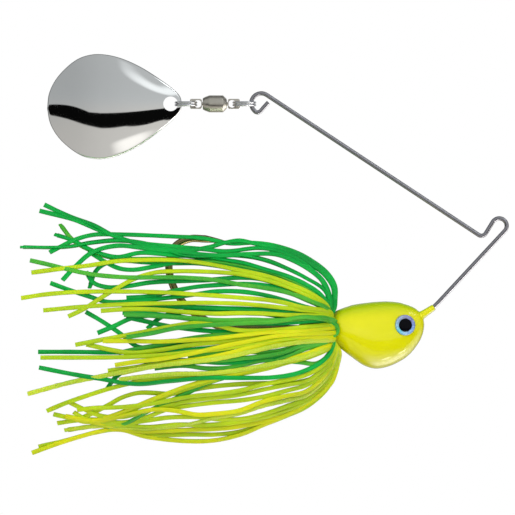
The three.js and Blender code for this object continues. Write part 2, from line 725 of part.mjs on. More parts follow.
export default group;
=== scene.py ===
"""A spinnerbait: wire frame, painted head, hook, silicone skirt, ball-bearing swivel and a cupped blade.

Shapes are written in millimetres about the line tie, +X forward, +Z up, and Y = 0 is the plane of the wire
and hook. The near side, which the camera looks at, is -Y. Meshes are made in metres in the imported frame.
"""
import math
import random

import bpy
from mathutils import Matrix, Vector


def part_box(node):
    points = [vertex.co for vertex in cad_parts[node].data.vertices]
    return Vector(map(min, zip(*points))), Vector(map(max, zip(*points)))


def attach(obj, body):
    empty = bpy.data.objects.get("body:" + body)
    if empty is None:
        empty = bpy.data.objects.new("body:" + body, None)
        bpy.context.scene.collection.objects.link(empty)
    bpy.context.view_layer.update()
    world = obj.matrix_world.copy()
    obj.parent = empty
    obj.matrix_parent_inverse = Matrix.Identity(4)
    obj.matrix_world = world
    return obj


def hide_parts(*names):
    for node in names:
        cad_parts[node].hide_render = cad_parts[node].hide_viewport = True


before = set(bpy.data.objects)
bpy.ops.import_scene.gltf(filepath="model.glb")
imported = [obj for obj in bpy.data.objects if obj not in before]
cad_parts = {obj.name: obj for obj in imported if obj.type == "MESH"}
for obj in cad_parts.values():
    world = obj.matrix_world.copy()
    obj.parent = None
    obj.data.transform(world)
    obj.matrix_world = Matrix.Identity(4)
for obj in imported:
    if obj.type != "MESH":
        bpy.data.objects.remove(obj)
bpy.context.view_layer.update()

MM = 0.001
TURN = 2 * math.pi


# ---- Places and sizes -------------------------------------------------------------------------------

def box_mm(node):
    low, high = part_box(node)
    return low / MM, high / MM


BARREL_LOW, BARREL_HIGH = box_mm("swivel_barrel")
COLLAR_LOW, COLLAR_HIGH = box_mm("skirt_collar")
CHAIN_Z = (BARREL_LOW.z + BARREL_HIGH.z) / 2
SKIRT_Z = (COLLAR_LOW.z + COLLAR_HIGH.z) / 2

# Wire: each bend is a centre (x, z), a centreline radius and a turn, in order from the cut end.
WIRE_RADIUS = 0.465
WIRE_BENDS = [
    ((-48.87, 26.2), 0, 1),
    ((-51.17, 24.84), 0.8, -1),
    ((-50.4, 25.95), 2.12, -1),
    ((-3.75, -1.05), 1.05, 1),
    ((0, 0), 1.59, -1),
    ((-23.1, -6.65), 14, -1),
]
WIRE_END_HEADING = -168
BEND_STEP = 5

# Head: oval sections from nose to tail: x, top, bottom, half width.
HEAD_NOSE, NOSE_TIP = (-15.85, -20.9), 0.02
HEAD_SECTIONS = [
    (-16.1, -19.6, -22.6, 0.95), (-16.8, -18.35, -24.3, 1.8), (-17.9, -17.4, -26.0, 2.6),
    (-19.4, -16.75, -27.6, 3.35), (-21.4, -16.2, -28.9, 4.0), (-23.8, -16.0, -29.9, 4.4),
    (-26.3, -16.1, -30.25, 4.55), (-28.6, -16.35, -29.6, 4.5), (-30.6, -16.65, -28.3, 4.3),
    (-32.4, -17.15, -26.95, 4.0), (-33.6, -17.6, -26.0, 3.75), (-34.5, -18.0, -25.5, 3.5),
    (-35.1, -18.5, -25.1, 3.1),
]
STUB_FROM, STUB_TO = (-13.8, -17.2), (-17.4, -19.6)
STUB_RADII = [0.68, 0.8, 1.05]
KEEPER_RADIUS, KEEPER_XS = 1.62, (-34.0, -38.0, -42.4)
SKIN_SPACING, SKIN_SIDES = 0.35, 64
CAST_VOXEL = 0.16
EYE_CENTRE = Vector((-20.0, 3.62, -21.0))
EYE_RADIUS, EYE_DEPTH, EYE_TOE_IN = 2.15, 1.1, 14
POCKET_GAP, POCKET_FLOOR_GAP, POCKET_STEP = 0.03, 0.02, 2.0
PUPIL_RADIUS, PUPIL_BASE, PUPIL_RIM, PUPIL_DOME = 1.35, 0.05, 0.34, 0.24

# Hook: shank, round bend and barbed point.
HOOK_RADIUS = 0.8
HOOK_PATH = [
    (-25.6, -21.8), (-40, -21.8), (-53.5, -21.8), (-57.5, -21.8), (-61.9, -20.1), (-66.2, -17.1),
    (-69.2, -12.4), (-69.95, -8.0), (-68.7, -4.4), (-65.6, -2.75), (-62.4, -2.75),
]
HOOK_TIP = (-57.7, -3.35)
HOOK_POINT_RADIUS, HOOK_TAPER = 0.03, 0.7
BARB_ROOT, BARB_TIP, BARB_RADII = (-59.7, -3.4), (-61.3, -4.9), [0.4, 0.24, 0.04]

# Swivel and split rings.
SWIVEL_EYE = {"length": 2.5, "height": 2.1, "thickness": 0.9, "corner": 0.35, "edge": 0.1,
              "hole": 0.71, "offset": 0.4}
FRONT_EYE_HOLE, REAR_EYE_HOLE = -56.6, -63.85
STEM_RADIUS, STEM_ROOT, FRONT_STEM_END, REAR_STEM_END = 0.42, 0.2, -59.0, -60.7
BARREL_MOUTH, BARREL_FRONT_FACE, BARREL_REAR_FACE, BARREL_EDGE = 0.52, 1.0, 1.2, 0.14
BARREL_FRONT_CONE, BARREL_REAR_CONE, BARREL_REAR_STEP = 0.8, 1.4, (0.5, 1.46)
RACE_RADIUS, RACE_FRONT_WALL, RACE_REAR_WALL = 1.32, 0.9, 1.0
BALL_COUNT = 6
RING_WIRE, COIL_OFFSET, HOLE_OFFSET = 0.25, 0.27, 0.33
RING_STEP_HALF, RING_STEP_PLACE, RING_FACETS = 22, 75, 160
ARM_RING_FRONT, BLADE_RING_END = -51.7, -68.52

# Blade: a cupped teardrop. Outline points are distance from the tip and half width.
BLADE_TIP, BLADE_THICKNESS, BLADE_CUP, BLADE_DROOP, BLADE_HUB = -67.2, 0.6, 3.9, 2.2, 17.2
CUP_STRAIGHTNESS = 0.25
BLADE_ROWS, BLADE_SPACING, BLADE_FINE_SPACING = 30, 0.45, 0.05
# The rolled rim: share of the outline, and share of half the thickness.
BLADE_RIM = [(0.983, 0.97), (0.991, 0.87), (0.997, 0.6)]
PUNCH_REACH = 4
BLADE_HOLE_X, BLADE_HOLE_RADIUS = -69.6, 1.55
BLADE_HALF_OUTLINE = [
    (0, 0), (0.3, 1.45), (1.5, 2.9), (4.3, 5.2), (8.5, 8.1), (12.6, 10.1),
    (16.0, 11.0), (18.6, 11.1), (21.4, 10.4), (24.0, 8.7), (26.6, 6.0), (28.1, 3.1), (28.6, 0),
]

# Skirt: the outline of the whole skirt, as x, top and bottom, sets how far out each strand runs.
SKIRT_ENVELOPE = [
    (-33, -17, -28.5), (-35, -16.5, -30), (-38, -9, -36), (-42, -6, -38.6), (-48, -4, -41.5),
    (-58, -3.0, -45), (-70, -2.2, -45.6), (-80, -1.5, -44), (-90, -0.5, -43), (-103, 1.0, -43),
]
# A strand's depth: its share of the half height, up to a limit, and never quite at the outline.
SKIRT_SIDE, SKIRT_DEEPEST, OUTLINE_SHARE = 0.72, 21.5, 0.97
STRAND_WIDTH, STRAND_THICKNESS, STRAND_EDGE = 0.95, 0.42, 0.09
COLLAR_BORE, COLLAR_EDGE = 2.9, 0.5
UNDER_COLLAR_XS, UNDER_COLLAR_RADIUS = (-39.0, -37.4), 2.25
STRAND_SPACING, STRANDS_EACH, STRAND_SEED, WIDTH_RANGE = 0.7, 16, 4, (0.94, 1.04)
# A strand sways by a lean in degrees, in so many half turns per mm, and faces partly outward, partly aside.
LEAN_RANGE, TURNS_RANGE, FACE_OUT, FACE_SIDE = (8, 24), (0.03, 0.07), 0.45, 0.75
SWELL, SWELL_PACE, TOOTH_DEPTH, TOOTH_LENGTH = 0.03, 0.9, 0.07, 1.0
# How far below the skirt's middle the collar's orange-brown is full, and where it begins.
ORANGE_LOW, ORANGE_HIGH = 3.6, 1.2


# ---- Camera, light and stage ------------------------------------------------------------------------

VIEW_WIDTH = 109.1
VIEW_CENTRE = (-51.2, -6.7)
CAMERA_DISTANCE = 2000
SENSOR_WIDTH = 36
FLOOR_RADIUS, FLOOR_DROP, FLOOR_SIDES = 1100, 160, 96

# Lights: name, place and diameter in metres, power in watts.
LIGHTS = [
    ("key", (-0.35, -1.3, 0.75), 1.4, 8.6),
    ("fill", (0.8, -1.25, 0.05), 1.0, 4.2),
    ("low", (-0.3, -1.2, -0.1), 0.8, 4.4),
    ("top", (0.0, 0.35, 1.1), 0.8, 3.5),
]


def add_camera():
    data = bpy.data.cameras.new("camera")
    data.sensor_width = SENSOR_WIDTH
    data.lens = SENSOR_WIDTH * CAMERA_DISTANCE / VIEW_WIDTH
    data.clip_start, data.clip_end = 0.05, 50
    camera = bpy.data.objects.new("camera", data)
    bpy.context.scene.collection.objects.link(camera)
    camera.location = Vector((VIEW_CENTRE[0], -CAMERA_DISTANCE, VIEW_CENTRE[1])) * MM
    camera.rotation_euler = (math.pi / 2, 0, 0)
    bpy.context.scene.camera = camera


def add_area_light(name, place, size, power):
    """A round light, in metres and watts, that faces the lure and isn't seen in gloss."""
    data = bpy.data.lights.new(name, "AREA")
    data.shape = "DISK"
    data.size = size
    data.energy = power
    light = bpy.data.objects.new(name, data)
    bpy.context.scene.collection.objects.link(light)
    light.location = place
    aim = Vector((VIEW_CENTRE[0] * MM, 0, VIEW_CENTRE[1] * MM)) - light.location
    light.rotation_euler = aim.to_track_quat("-Z", "Y").to_euler()
    light.visible_glossy = False


class Nodes:
    """A node tree with short calls for the nodes that this file uses."""

    def __init__(self, tree):
        self.tree = tree
        self.tree.nodes.clear()

    def add(self, kind, **settings):
        node = self.tree.nodes.new(kind)
        for key, value in settings.items():
            setattr(node, key, value)
        return node

    def link(self, output, socket):
        self.tree.links.new(output, socket)

    def feed(self, socket, value):
        if isinstance(value, bpy.types.NodeSocket):
            self.link(value, socket)
        else:
            socket.default_value = value

    def math(self, operation, a, b=0.0):
        node = self.add("ShaderNodeMath", operation=operation)
        self.feed(node.inputs[0], a)
        self.feed(node.inputs[1], b)
        return node.outputs[0]

    def line(self, value, slope, offset):
        return self.math("ADD", self.math("MULTIPLY", value, slope), offset)

    def separate(self, vector):
        """The vector's x, y and z."""
        node = self.add("ShaderNodeSeparateXYZ")
        self.link(vector, node.inputs[0])
        return node.outputs

    def dot(self, vector, axis):
        node = self.add("ShaderNodeVectorMath", operation="DOT_PRODUCT")
        self.link(vector, node.inputs[0])
        node.inputs[1].default_value = axis
        return node.outputs["Value"]

    def mix(self, factor, a, b):
        node = self.add("ShaderNodeMix", data_type="RGBA")
        self.feed(node.inputs["Factor"], factor)
        self.feed(node.inputs[6], a)
        self.feed(node.inputs[7], b)
        return node.outputs[2]

    def ramp(self, value, stops):
        node = self.add("ShaderNodeValToRGB")
        self.feed(node.inputs[0], value)
        band = node.color_ramp
        while len(band.elements) < len(stops):
            band.elements.new(0.5)
        for element, (place, colour) in zip(band.elements, stops):
            element.position = place
            element.color = colour
        return node.outputs[0]

    def steps(self, value, low, high, low_value, high_value):
        """Runs smoothly from low_value to high_value as the value goes from low to high."""
        node = self.add("ShaderNodeMapRange", interpolation_type="SMOOTHSTEP")
        self.feed(node.inputs["Value"], value)
        node.inputs["From Min"].default_value = low
        node.inputs["From Max"].default_value = high
        node.inputs["To Min"].default_value = low_value
        node.inputs["To Max"].default_value = high_value
        return node.outputs[0]

    def place(self):
        return self.add("ShaderNodeTexCoord").outputs["Object"]

    def stretched(self, vector, scale):
        node = self.add("ShaderNodeMapping")
        self.link(vector, node.inputs["Vector"])
        node.inputs["Scale"].default_value = scale
        return node.outputs[0]

    def noise(self, vector, scale, detail=3.0, roughness=0.5):
        """Noise from 0 to 1, with about this many patches in a metre."""
        node = self.add("ShaderNodeTexNoise")
        self.link(vector, node.inputs["Vector"])
        node.inputs["Scale"].default_value = scale
        node.inputs["Detail"].default_value = detail
        node.inputs["Roughness"].default_value = roughness
        return node.outputs["Fac"]

    def bump(self, height, strength, distance):
        """A bump whose full height is the distance, in millimetres."""
        node = self.add("ShaderNodeBump")
        self.link(height, node.inputs["Height"])
        node.inputs["Strength"].default_value = strength
        node.inputs["Distance"].default_value = distance * MM
        return node.outputs[0]


def lamp(nodes, direction, centre, along, half_length, half_width, strength):
    """A soft oval lamp of the studio: where its middle is, which way it is long, and its size in degrees."""
    centre = Vector(centre).normalized()
    along = (Vector(along) - centre * centre.dot(Vector(along))).normalized()
    parts = []
    for axis, half in ((along, half_length), (centre.cross(along), half_width)):
        offset = nodes.dot(direction, axis / math.sin(math.radians(half)))
        parts.append(nodes.math("POWER", nodes.math("ABSOLUTE", offset), 2.0))
    glow = nodes.steps(nodes.math("ADD", *parts), 0.0, 1.0, strength, 0.0)
    return nodes.math("MULTIPLY", glow, nodes.math("GREATER_THAN", nodes.dot(direction, centre), 0.0))


# Lamps of the studio: middle, long direction, half length and half width in degrees, strength. In turn they
# make the blade's two streaks, the wire's bright side, the head's pale band and its three bright spots.
LAMPS = [
    ((0.54, -0.53, 0.645), (1, -0.1, -0.83), 24, 7, 0.52),
    ((0.38, -0.50, -0.778), (1, 0.45, 0.2), 15, 3.6, 0.5),
    ((0.76, 0.15, -0.65), (0.65, 0, 0.76), 45, 31, 2.4),
    ((0.25, 0.10, -0.96), (1, 0, 0.26), 38, 24, 3.2),
    ((0.31, -0.30, -0.90), (1, 0, 0), 9, 5, 8.0),
    ((0.65, -0.20, -0.73), (0, 0, 1), 9, 5, 8.0),
    ((0.64, -0.25, 0.73), (1, 0, 0), 9, 5, 6.0),
]


# The dark strip low in front of the studio, which the blade mirrors as a black band. An edge's height is z
# over the depth in front; it fades over a short range, tilts with x, and bends away past a place on one side.
STRIP_TOP = {"fade": (-0.235, -0.195), "tilt": 0.12, "bend": -0.5, "bend_from": -0.3}
STRIP_BOTTOM = {"fade": (-0.77, -0.71), "tilt": 0.3, "bend": 1.15, "bend_from": 0.3}
STRIP_END = (-0.25, -0.05)
STRIP_DARKNESS = 0.995
NEAREST_DEPTH = 0.02


def strip_edge(nodes, height, x, edge):
    """The height above the edge, before its bend, and how far the bend moves it."""
    tilted = nodes.math("ADD", height, nodes.math("MULTIPLY", x, edge["tilt"]))
    bend = nodes.line(x, edge["bend"], -edge["bend"] * edge["bend_from"])
    return tilted, nodes.math("MAXIMUM", bend, 0.0)


def dark_strip(nodes, x, y, z):
    """1 in the strip and 0 outside it."""
    depth = nodes.math("MAXIMUM", nodes.math("MULTIPLY", y, -1.0), NEAREST_DEPTH)
    height = nodes.math("DIVIDE", z, depth)
    top, to_left = strip_edge(nodes, height, x, STRIP_TOP)
    bottom, to_right = strip_edge(nodes, height, x, STRIP_BOTTOM)
    below_top = nodes.steps(nodes.math("SUBTRACT", top, to_left), *STRIP_TOP["fade"], 1.0, 0.0)
    above_bottom = nodes.steps(nodes.math("ADD", bottom, to_right), *STRIP_BOTTOM["fade"], 0.0, 1.0)
    in_front = nodes.steps(y, *STRIP_END, 1.0, 0.0)
    return nodes.math("MULTIPLY", nodes.math("MULTIPLY", below_top, above_bottom), in_front)


def studio_level(nodes, direction, x, y, z):
    """Grey that is a little lighter low and to the right, dark at the sides, with the lamps added."""
    level = nodes.math("ADD", nodes.steps(z, -1.0, 1.0, 0.55, 0.45), nodes.steps(x, -0.9, 0.9, -0.07, 0.08))
    round_back = nodes.math("MAXIMUM", nodes.steps(y, -0.15, 0.2, 1.0, 0.12),
                            nodes.steps(y, 0.4, 0.75, 0.0, 0.85))
    level = nodes.math("MULTIPLY", level, round_back)
    for settings in LAMPS:
        level = nodes.math("ADD", level, lamp(nodes, direction, *settings))
    return level


def add_world():
    """White behind the object; round it a grey studio, dark at the sides and in a strip low in front."""
    world = bpy.data.worlds.new("studio")
    bpy.context.scene.world = world
    world.use_nodes = True
    nodes = Nodes(world.node_tree)
    direction = nodes.add("ShaderNodeTexCoord").outputs["Generated"]
    x, y, z = nodes.separate(direction)
    dark = nodes.line(dark_strip(nodes, x, y, z), -STRIP_DARKNESS, 1.0)
    level = studio_level(nodes, direction, x, y, z)
    studio = nodes.add("ShaderNodeBackground")
    nodes.link(nodes.math("MULTIPLY", level, dark), studio.inputs["Strength"])
    tint = nodes.mix(nodes.steps(z, -0.6, 0.4, 0.0, 1.0), (1.0, 0.98, 0.94, 1.0), (0.94, 0.98, 1.0, 1.0))
    nodes.link(tint, studio.inputs["Color"])
    backdrop = nodes.add("ShaderNodeBackground")
    backdrop.inputs["Color"].default_value = (1.0, 1.0, 1.0, 1.0)
    seen = nodes.add("ShaderNodeLightPath").outputs["Is Camera Ray"]
    mix = nodes.add("ShaderNodeMixShader")
    nodes.link(seen, mix.inputs[0])
    nodes.link(studio.outputs[0], mix.inputs[1])
    nodes.link(backdrop.outputs[0], mix.inputs[2])
    nodes.link(mix.outputs[0], nodes.add("ShaderNodeOutputWorld").inputs["Surface"])


def add_floor():
    """A pale round floor well under the lure, so that it is seen only from above."""
    turns = [TURN * side / FLOOR_SIDES for side in range(FLOOR_SIDES)]
    ring = [Vector((FLOOR_RADIUS * math.cos(turn), FLOOR_RADIUS * math.sin(turn), 0)) for turn in turns]
    centre = Vector((VIEW_CENTRE[0], 0, -FLOOR_DROP))
    mesh = bpy.data.meshes.new("floor")
    mesh.from_pydata([(centre + corner) * MM for corner in ring], [], [list(range(FLOOR_SIDES))])
    floor = bpy.data.objects.new("floor", mesh)
    bpy.context.scene.collection.objects.link(floor)
    paper = bpy.data.materials.new("paper")
    paper.use_nodes = True
    nodes = Nodes(paper.node_tree)
    shader = nodes.add("ShaderNodeBsdfPrincipled")
    grain = nodes.noise(nodes.place(), 60)
    nodes.link(nodes.mix(grain, (0.86, 0.86, 0.86, 1), (0.90, 0.90, 0.90, 1)), shader.inputs["Base Color"])
    shader.inputs["Roughness"].default_value = 0.7
    nodes.link(shader.outputs[0], nodes.add("ShaderNodeOutputMaterial").inputs["Surface"])
    mesh.materials.append(paper)
    floor.visible_glossy = False


add_camera()
add_world()
add_floor()
for settings in LIGHTS:
    add_area_light(*settings)
bpy.context.scene.view_settings.view_transform = "Standard"


# ---- Materials --------------------------------------------------------------------------------------

def srgb(red, green, blue):
    """A colour from its 0-255 screen values."""
    def linear(value):
        share = value / 255
        return share / 12.92 if share <= 0.04045 else ((share + 0.055) / 1.055) ** 2.4
    return (linear(red), linear(green), linear(blue), 1.0)


def finished(name, build, **fixed):
    """A material: build(nodes) gives its colour, roughness and normal, and fixed its even sockets."""
    material = bpy.data.materials.new(name)
    material.use_nodes = True
    nodes = Nodes(material.node_tree)
    shader = nodes.add("ShaderNodeBsdfPrincipled")
    for socket, value in fixed.items():
        shader.inputs[socket.replace("_", " ")].default_value = value
    for socket, output in zip(("Base Color", "Roughness", "Normal"), build(nodes)):
        nodes.link(output, shader.inputs[socket])
    nodes.link(shader.outputs[0], nodes.add("ShaderNodeOutputMaterial").inputs["Surface"])
    return material


def metal(name, bright, dull, roughness, bump):
    """Plated or drawn metal: tarnish in patches, fine scratches, and roughness that follows both."""
    def build(nodes):
        place = nodes.place()
        patches = nodes.noise(place, 260, 4)
        scratches = nodes.noise(place, 900, 5, 0.65)
        scratched = nodes.math("MULTIPLY", nodes.steps(scratches, 0.3, 0.75, 0.75, 1.3), roughness)
        rough = nodes.math("ADD", scratched, nodes.math("MULTIPLY", patches, roughness * 0.35))
        return nodes.mix(patches, bright, dull), rough, nodes.bump(scratches, bump, 0.04)
    return finished(name, build, Metallic=1.0)


def dye_drift(nodes, place, light, deep):
    """Silicone dye, which drifts from light to deep along a strand."""
    return nodes.mix(nodes.steps(nodes.noise(place, 110, 3), 0.35, 0.65, 0.0, 1.0), light, deep)


def silicone(name, light, deep, fleck, fleck_share):
    """Dyed silicone with fine flecks and a faint moulded grain."""
    def build(nodes):
        place = nodes.place()
        specks = nodes.steps(nodes.noise(place, 3200, 2), 0.62, 0.74, 0.0, fleck_share)
        grain = nodes.noise(nodes.stretched(place, (0.35, 1, 1)), 2400, 4)
        return (nodes.mix(specks, dye_drift(nodes, place, light, deep), fleck),
                nodes.steps(grain, 0.3, 0.7, 0.30, 0.46), nodes.bump(grain, 0.25, 0.05))
    return finished(name, build, Subsurface_Weight=0.25, Subsurface_Scale=0.0006, Specular_IOR_Level=0.3)


def glitter_silicone():
    """Chartreuse silicone of a ribbed strand; the pale colour on its bars is a painted highlight, and the
    bars also set its roughness and bump.
    """
    def build(nodes):
        place = nodes.place()
        wave = nodes.add("ShaderNodeTexWave", wave_type="BANDS", bands_direction="X")
        nodes.link(place, wave.inputs["Vector"])
        for socket, value in (("Scale", 520), ("Distortion", 6.0), ("Detail", 1.0), ("Detail Scale", 6.0)):
            wave.inputs[socket].default_value = value
        bars = wave.outputs["Fac"]
        dyed = dye_drift(nodes, place, srgb(194, 216, 26), srgb(170, 200, 28))
        # The pale bars in the colour are a painted highlight on the ribs.
        return (nodes.mix(nodes.steps(bars, 0.5, 0.85, 0.0, 0.45), dyed, srgb(224, 232, 104)),
                nodes.steps(bars, 0.2, 0.8, 0.45, 0.25), nodes.bump(bars, 0.3, 0.06))
    return finished("glitter_silicone", build, Subsurface_Weight=0.25, Subsurface_Scale=0.0006)


def head_paint():
    """Fluorescent powder paint with orange peel, plus painted shade in green over the back and edges and a
    painted highlight that is pale under the belly.
    """
    def build(nodes):
        place = nodes.place()
        x, y, z = nodes.separate(nodes.add("ShaderNodeNewGeometry").outputs["Normal"])
        # Painted shade: the paint turns green towards the edges seen side-on and over the top, where less
        # light falls.
        rim = nodes.steps(nodes.math("ABSOLUTE", y), 0.0, 0.42, 0.5, 0.0)
        green = nodes.math("MAXIMUM", rim, nodes.steps(z, 0.30, 0.98, 0.0, 0.95))
        # Painted highlight: pale under the belly, standing in for the reflection of light from below.
        belly = nodes.math("MULTIPLY", nodes.steps(z, -0.64, -0.36, 0.55, 0.0),
                           nodes.steps(x, -0.4, 0.0, 0.0, 1.0))
        body = nodes.mix(nodes.noise(place, 140, 3), srgb(232, 226, 0), srgb(218, 216, 0))
        body = nodes.mix(belly, body, srgb(240, 234, 140))
        peel = nodes.noise(place, 1500, 2)
        return (nodes.mix(green, body, srgb(160, 196, 0)), nodes.steps(peel, 0.3, 0.7, 0.16, 0.26),
                nodes.bump(peel, 0.02, 0.04))
    return finished("fluorescent_paint", build, Specular_IOR_Level=0.2, Coat_Weight=0.75, Coat_Roughness=0.07)


def iris_film():
    """Pearly film: lilac at the top, cyan low at the rear, with a darker ring at the rim."""
    def build(nodes):
        place = nodes.place()
        offset = nodes.add("ShaderNodeVectorMath", operation="SUBTRACT")
        nodes.link(place, offset.inputs[0])
        offset.inputs[1].default_value = (EYE_CENTRE.x * MM, 0, EYE_CENTRE.z * MM)
        x, _, z = nodes.separate(offset.outputs[0])
        film = nodes.ramp(nodes.math("ADD", nodes.math("DIVIDE", nodes.math("ARCTAN2", z, x), TURN), 0.5), [
            (0.0, srgb(150, 205, 235)), (0.12, srgb(88, 208, 226)), (0.25, srgb(158, 206, 244)),
            (0.45, srgb(120, 160, 226)), (0.62, srgb(140, 140, 205)), (0.78, srgb(172, 176, 214)),
            (1.0, srgb(150, 205, 235)),
        ])
        squares = nodes.math("ADD", nodes.math("POWER", x, 2.0), nodes.math("POWER", z, 2.0))
        rim = nodes.steps(nodes.math("SQRT", squares), 0.86 * EYE_RADIUS * MM, EYE_RADIUS * MM, 0.0, 0.55)
        shaded = nodes.mix(rim, film, srgb(70, 96, 150))
        pearl = nodes.noise(place, 1900, 3)
        return (nodes.mix(nodes.steps(pearl, 0.4, 0.7, 0.0, 0.3), shaded, srgb(205, 225, 250)),
                nodes.steps(pearl, 0.3, 0.7, 0.18, 0.34), nodes.bump(pearl, 0.15, 0.04))
    return finished("iris_film", build, Metallic=0.25, Coat_Weight=0.6, Coat_Roughness=0.08)


def pupil_gloss():
    """Black gloss with a little dust."""
    def build(nodes):
        dust = nodes.noise(nodes.place(), 2600, 3)
        return (nodes.mix(dust, (0.001, 0.001, 0.002, 1), (0.004, 0.004, 0.006, 1)),
                nodes.steps(dust, 0.3, 0.7, 0.07, 0.16), nodes.bump(dust, 0.03, 0.03))
    return finished("pupil_gloss", build, Specular_IOR_Level=0.08)


def collar_rubber():
    """Olive rubber that turns orange-brown underneath."""
    def build(nodes):
        place = nodes.place()
        z = nodes.separate(place)[2]
        # Orange-brown towards the bottom of the band.
        low = nodes.steps(z, (SKIRT_Z - ORANGE_LOW) * MM, (SKIRT_Z - ORANGE_HIGH) * MM, 1.0, 0.0)
        blotch = nodes.noise(place, 420, 4)
        body = nodes.mix(blotch, srgb(170, 182, 40), srgb(150, 158, 36))
        return (nodes.mix(low, body, srgb(188, 150, 44)), nodes.steps(blotch, 0.3, 0.7, 0.42, 0.62),
                nodes.bump(nodes.noise(place, 2200, 3), 0.3, 0.06))
    return finished("collar_rubber", build, Subsurface_Weight=0.15, Subsurface_Scale=0.0006)


WIRE_STEEL = metal("wire_steel", (0.50, 0.49, 0.53, 1), (0.43, 0.42, 0.45, 1), 0.24, 0.003)
RING_STEEL = metal("ring_steel", (0.95, 0.95, 0.97, 1), (0.84, 0.84, 0.87, 1), 0.14, 0.004)
HOOK_BRONZE = metal("hook_bronze", (0.60, 0.48, 0.20, 1), (0.26, 0.21, 0.10, 1), 0.17, 0.05)
SWIVEL_NICKEL = metal("swivel_nickel", (0.82, 0.77, 0.68, 1), (0.70, 0.66, 0.57, 1), 0.3, 0.003)
BALL_STEEL = metal("ball_steel", (0.70, 0.70, 0.72, 1), (0.6, 0.6, 0.62, 1), 0.15, 0.05)
BLADE_NICKEL = metal("blade_nickel", (0.93, 0.93, 0.92, 1), (0.90, 0.90, 0.89, 1), 0.05, 0.01)
PAINT = head_paint()
IRIS = iris_film()
PUPIL = pupil_gloss()
COLLAR_RUBBER = collar_rubber()
DYES = {
    "green": silicone("silicone_green", srgb(0, 176, 66), srgb(0, 152, 58), srgb(50, 190, 80), 0.4),
    "leaf": silicone("silicone_leaf", srgb(84, 184, 52), srgb(60, 162, 50), srgb(140, 205, 60), 0.5),
    "lime": silicone("silicone_lime", srgb(194, 218, 20), srgb(170, 200, 24), srgb(222, 214, 50), 0.5),
    "gold": silicone("silicone_gold", srgb(220, 222, 14), srgb(198, 210, 20), srgb(232, 205, 40), 0.5),
    "glitter": glitter_silicone(),
}
DYE_SLOTS = {"green": "strand_green", "leaf": "strand_leaf"}


# ---- Mesh making ------------------------------------------------------------------------------------

def mesh_object(name, vertices, faces, material):
    """An object whose mesh has these vertices, given in millimetres."""
    mesh = bpy.data.meshes.new(name)
    mesh.from_pydata([Vector(place) * MM for place in vertices], [], faces)
    mesh.materials.append(material)
    piece = bpy.data.objects.new(name, mesh)
    bpy.context.scene.collection.objects.link(piece)
    return piece


def finish_piece(piece, body, nodes, sharp_angle=35):
    """Shades the piece, ties it to its body and hides the CAD nodes that it stands for."""
    piece.data.shade_smooth()
    piece.data.set_sharp_from_angle(angle=math.radians(sharp_angle))
    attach(piece, body)
    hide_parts(*nodes)
    return piece


def apply_modifiers(piece):
    graph = bpy.context.evaluated_depsgraph_get()
    mesh = bpy.data.meshes.new_from_object(piece.evaluated_get(graph))
    material = piece.data.materials[0]
    piece.modifiers.clear()
    piece.data = mesh
    mesh.materials.clear()
    mesh.materials.append(material)


def boolean(piece, tool, operation):
    """Joins the tool to the piece, or cuts it out, and removes the tool."""
    modifier = piece.modifiers.new("boolean", "BOOLEAN")
    modifier.operation = operation
    modifier.solver = "EXACT"
    modifier.object = tool
    apply_modifiers(piece)
    bpy.data.objects.remove(tool)


def spline(points, spacing):
    """Points about this far apart on a smooth curve through the given ones."""
    points = [Vector(point) for point in points]
    ends = [2 * points[0] - points[1], *points, 2 * points[-1] - points[-2]]
    smooth = []
    for index in range(1, len(ends) - 2):
        before, start, end, after = ends[index - 1:index + 3]
        steps = max(2, round((end - start).length / spacing))
        gaps = [max((b - a).length, 1e-6) ** 0.5 for a, b in ((before, start), (start, end), (end, after))]
        leave = ((start - before) / gaps[0] - (end - before) / (gaps[0] + gaps[1])
                 + (end - start) / gaps[1]) * gaps[1]
        arrive = ((end - start) / gaps[1] - (after - start) / (gaps[1] + gaps[2])
                  + (after - end) / gaps[2]) * gaps[1]
        for step in range(steps):
            t = step / steps
            smooth.append((2 * t**3 - 3 * t**2 + 1) * start + (t**3 - 2 * t**2 + t) * leave
                          + (3 * t**2 - 2 * t**3) * end + (t**3 - t**2) * arrive)
    smooth.append(points[-1])
    return smooth


def tangents(points):
    result = []
    for index in range(len(points)):
        before = points[max(index - 1, 0)]
        after = points[min(index + 1, len(points) - 1)]
        result.append((after - before).normalized())
    return result


def skin(rings):
    """Vertices and faces of a closed skin through rings of equal length, with flat ends."""
    count = len(rings[0])
    vertices = [corner for ring in rings for corner in ring]
    faces = [list(range(count))[::-1], [(len(rings) - 1) * count + side for side in range(count)]]
    for ring in range(len(rings) - 1):
        for side in range(count):
            a, b = ring * count + side, ring * count + (side + 1) % count
            faces.append([a, b, b + count, a + count])
    return vertices, faces


def tube(points, radii, sides):
    """A round tube along the points; radii is one number or one for each point."""
    points = [Vector(point) for point in points]
    radii = radii if isinstance(radii, list) else [radii] * len(points)
    along = tangents(points)
    across = along[0].orthogonal().normalized()
    rings = []
    for point, tangent, radius in zip(points, along, radii):
        across = (across - tangent * across.dot(tangent)).normalized()
        other = tangent.cross(across)
        rings.append([point + radius * (across * math.cos(TURN * side / sides)
                                        + other * math.sin(TURN * side / sides)) for side in range(sides)])
    return skin(rings)


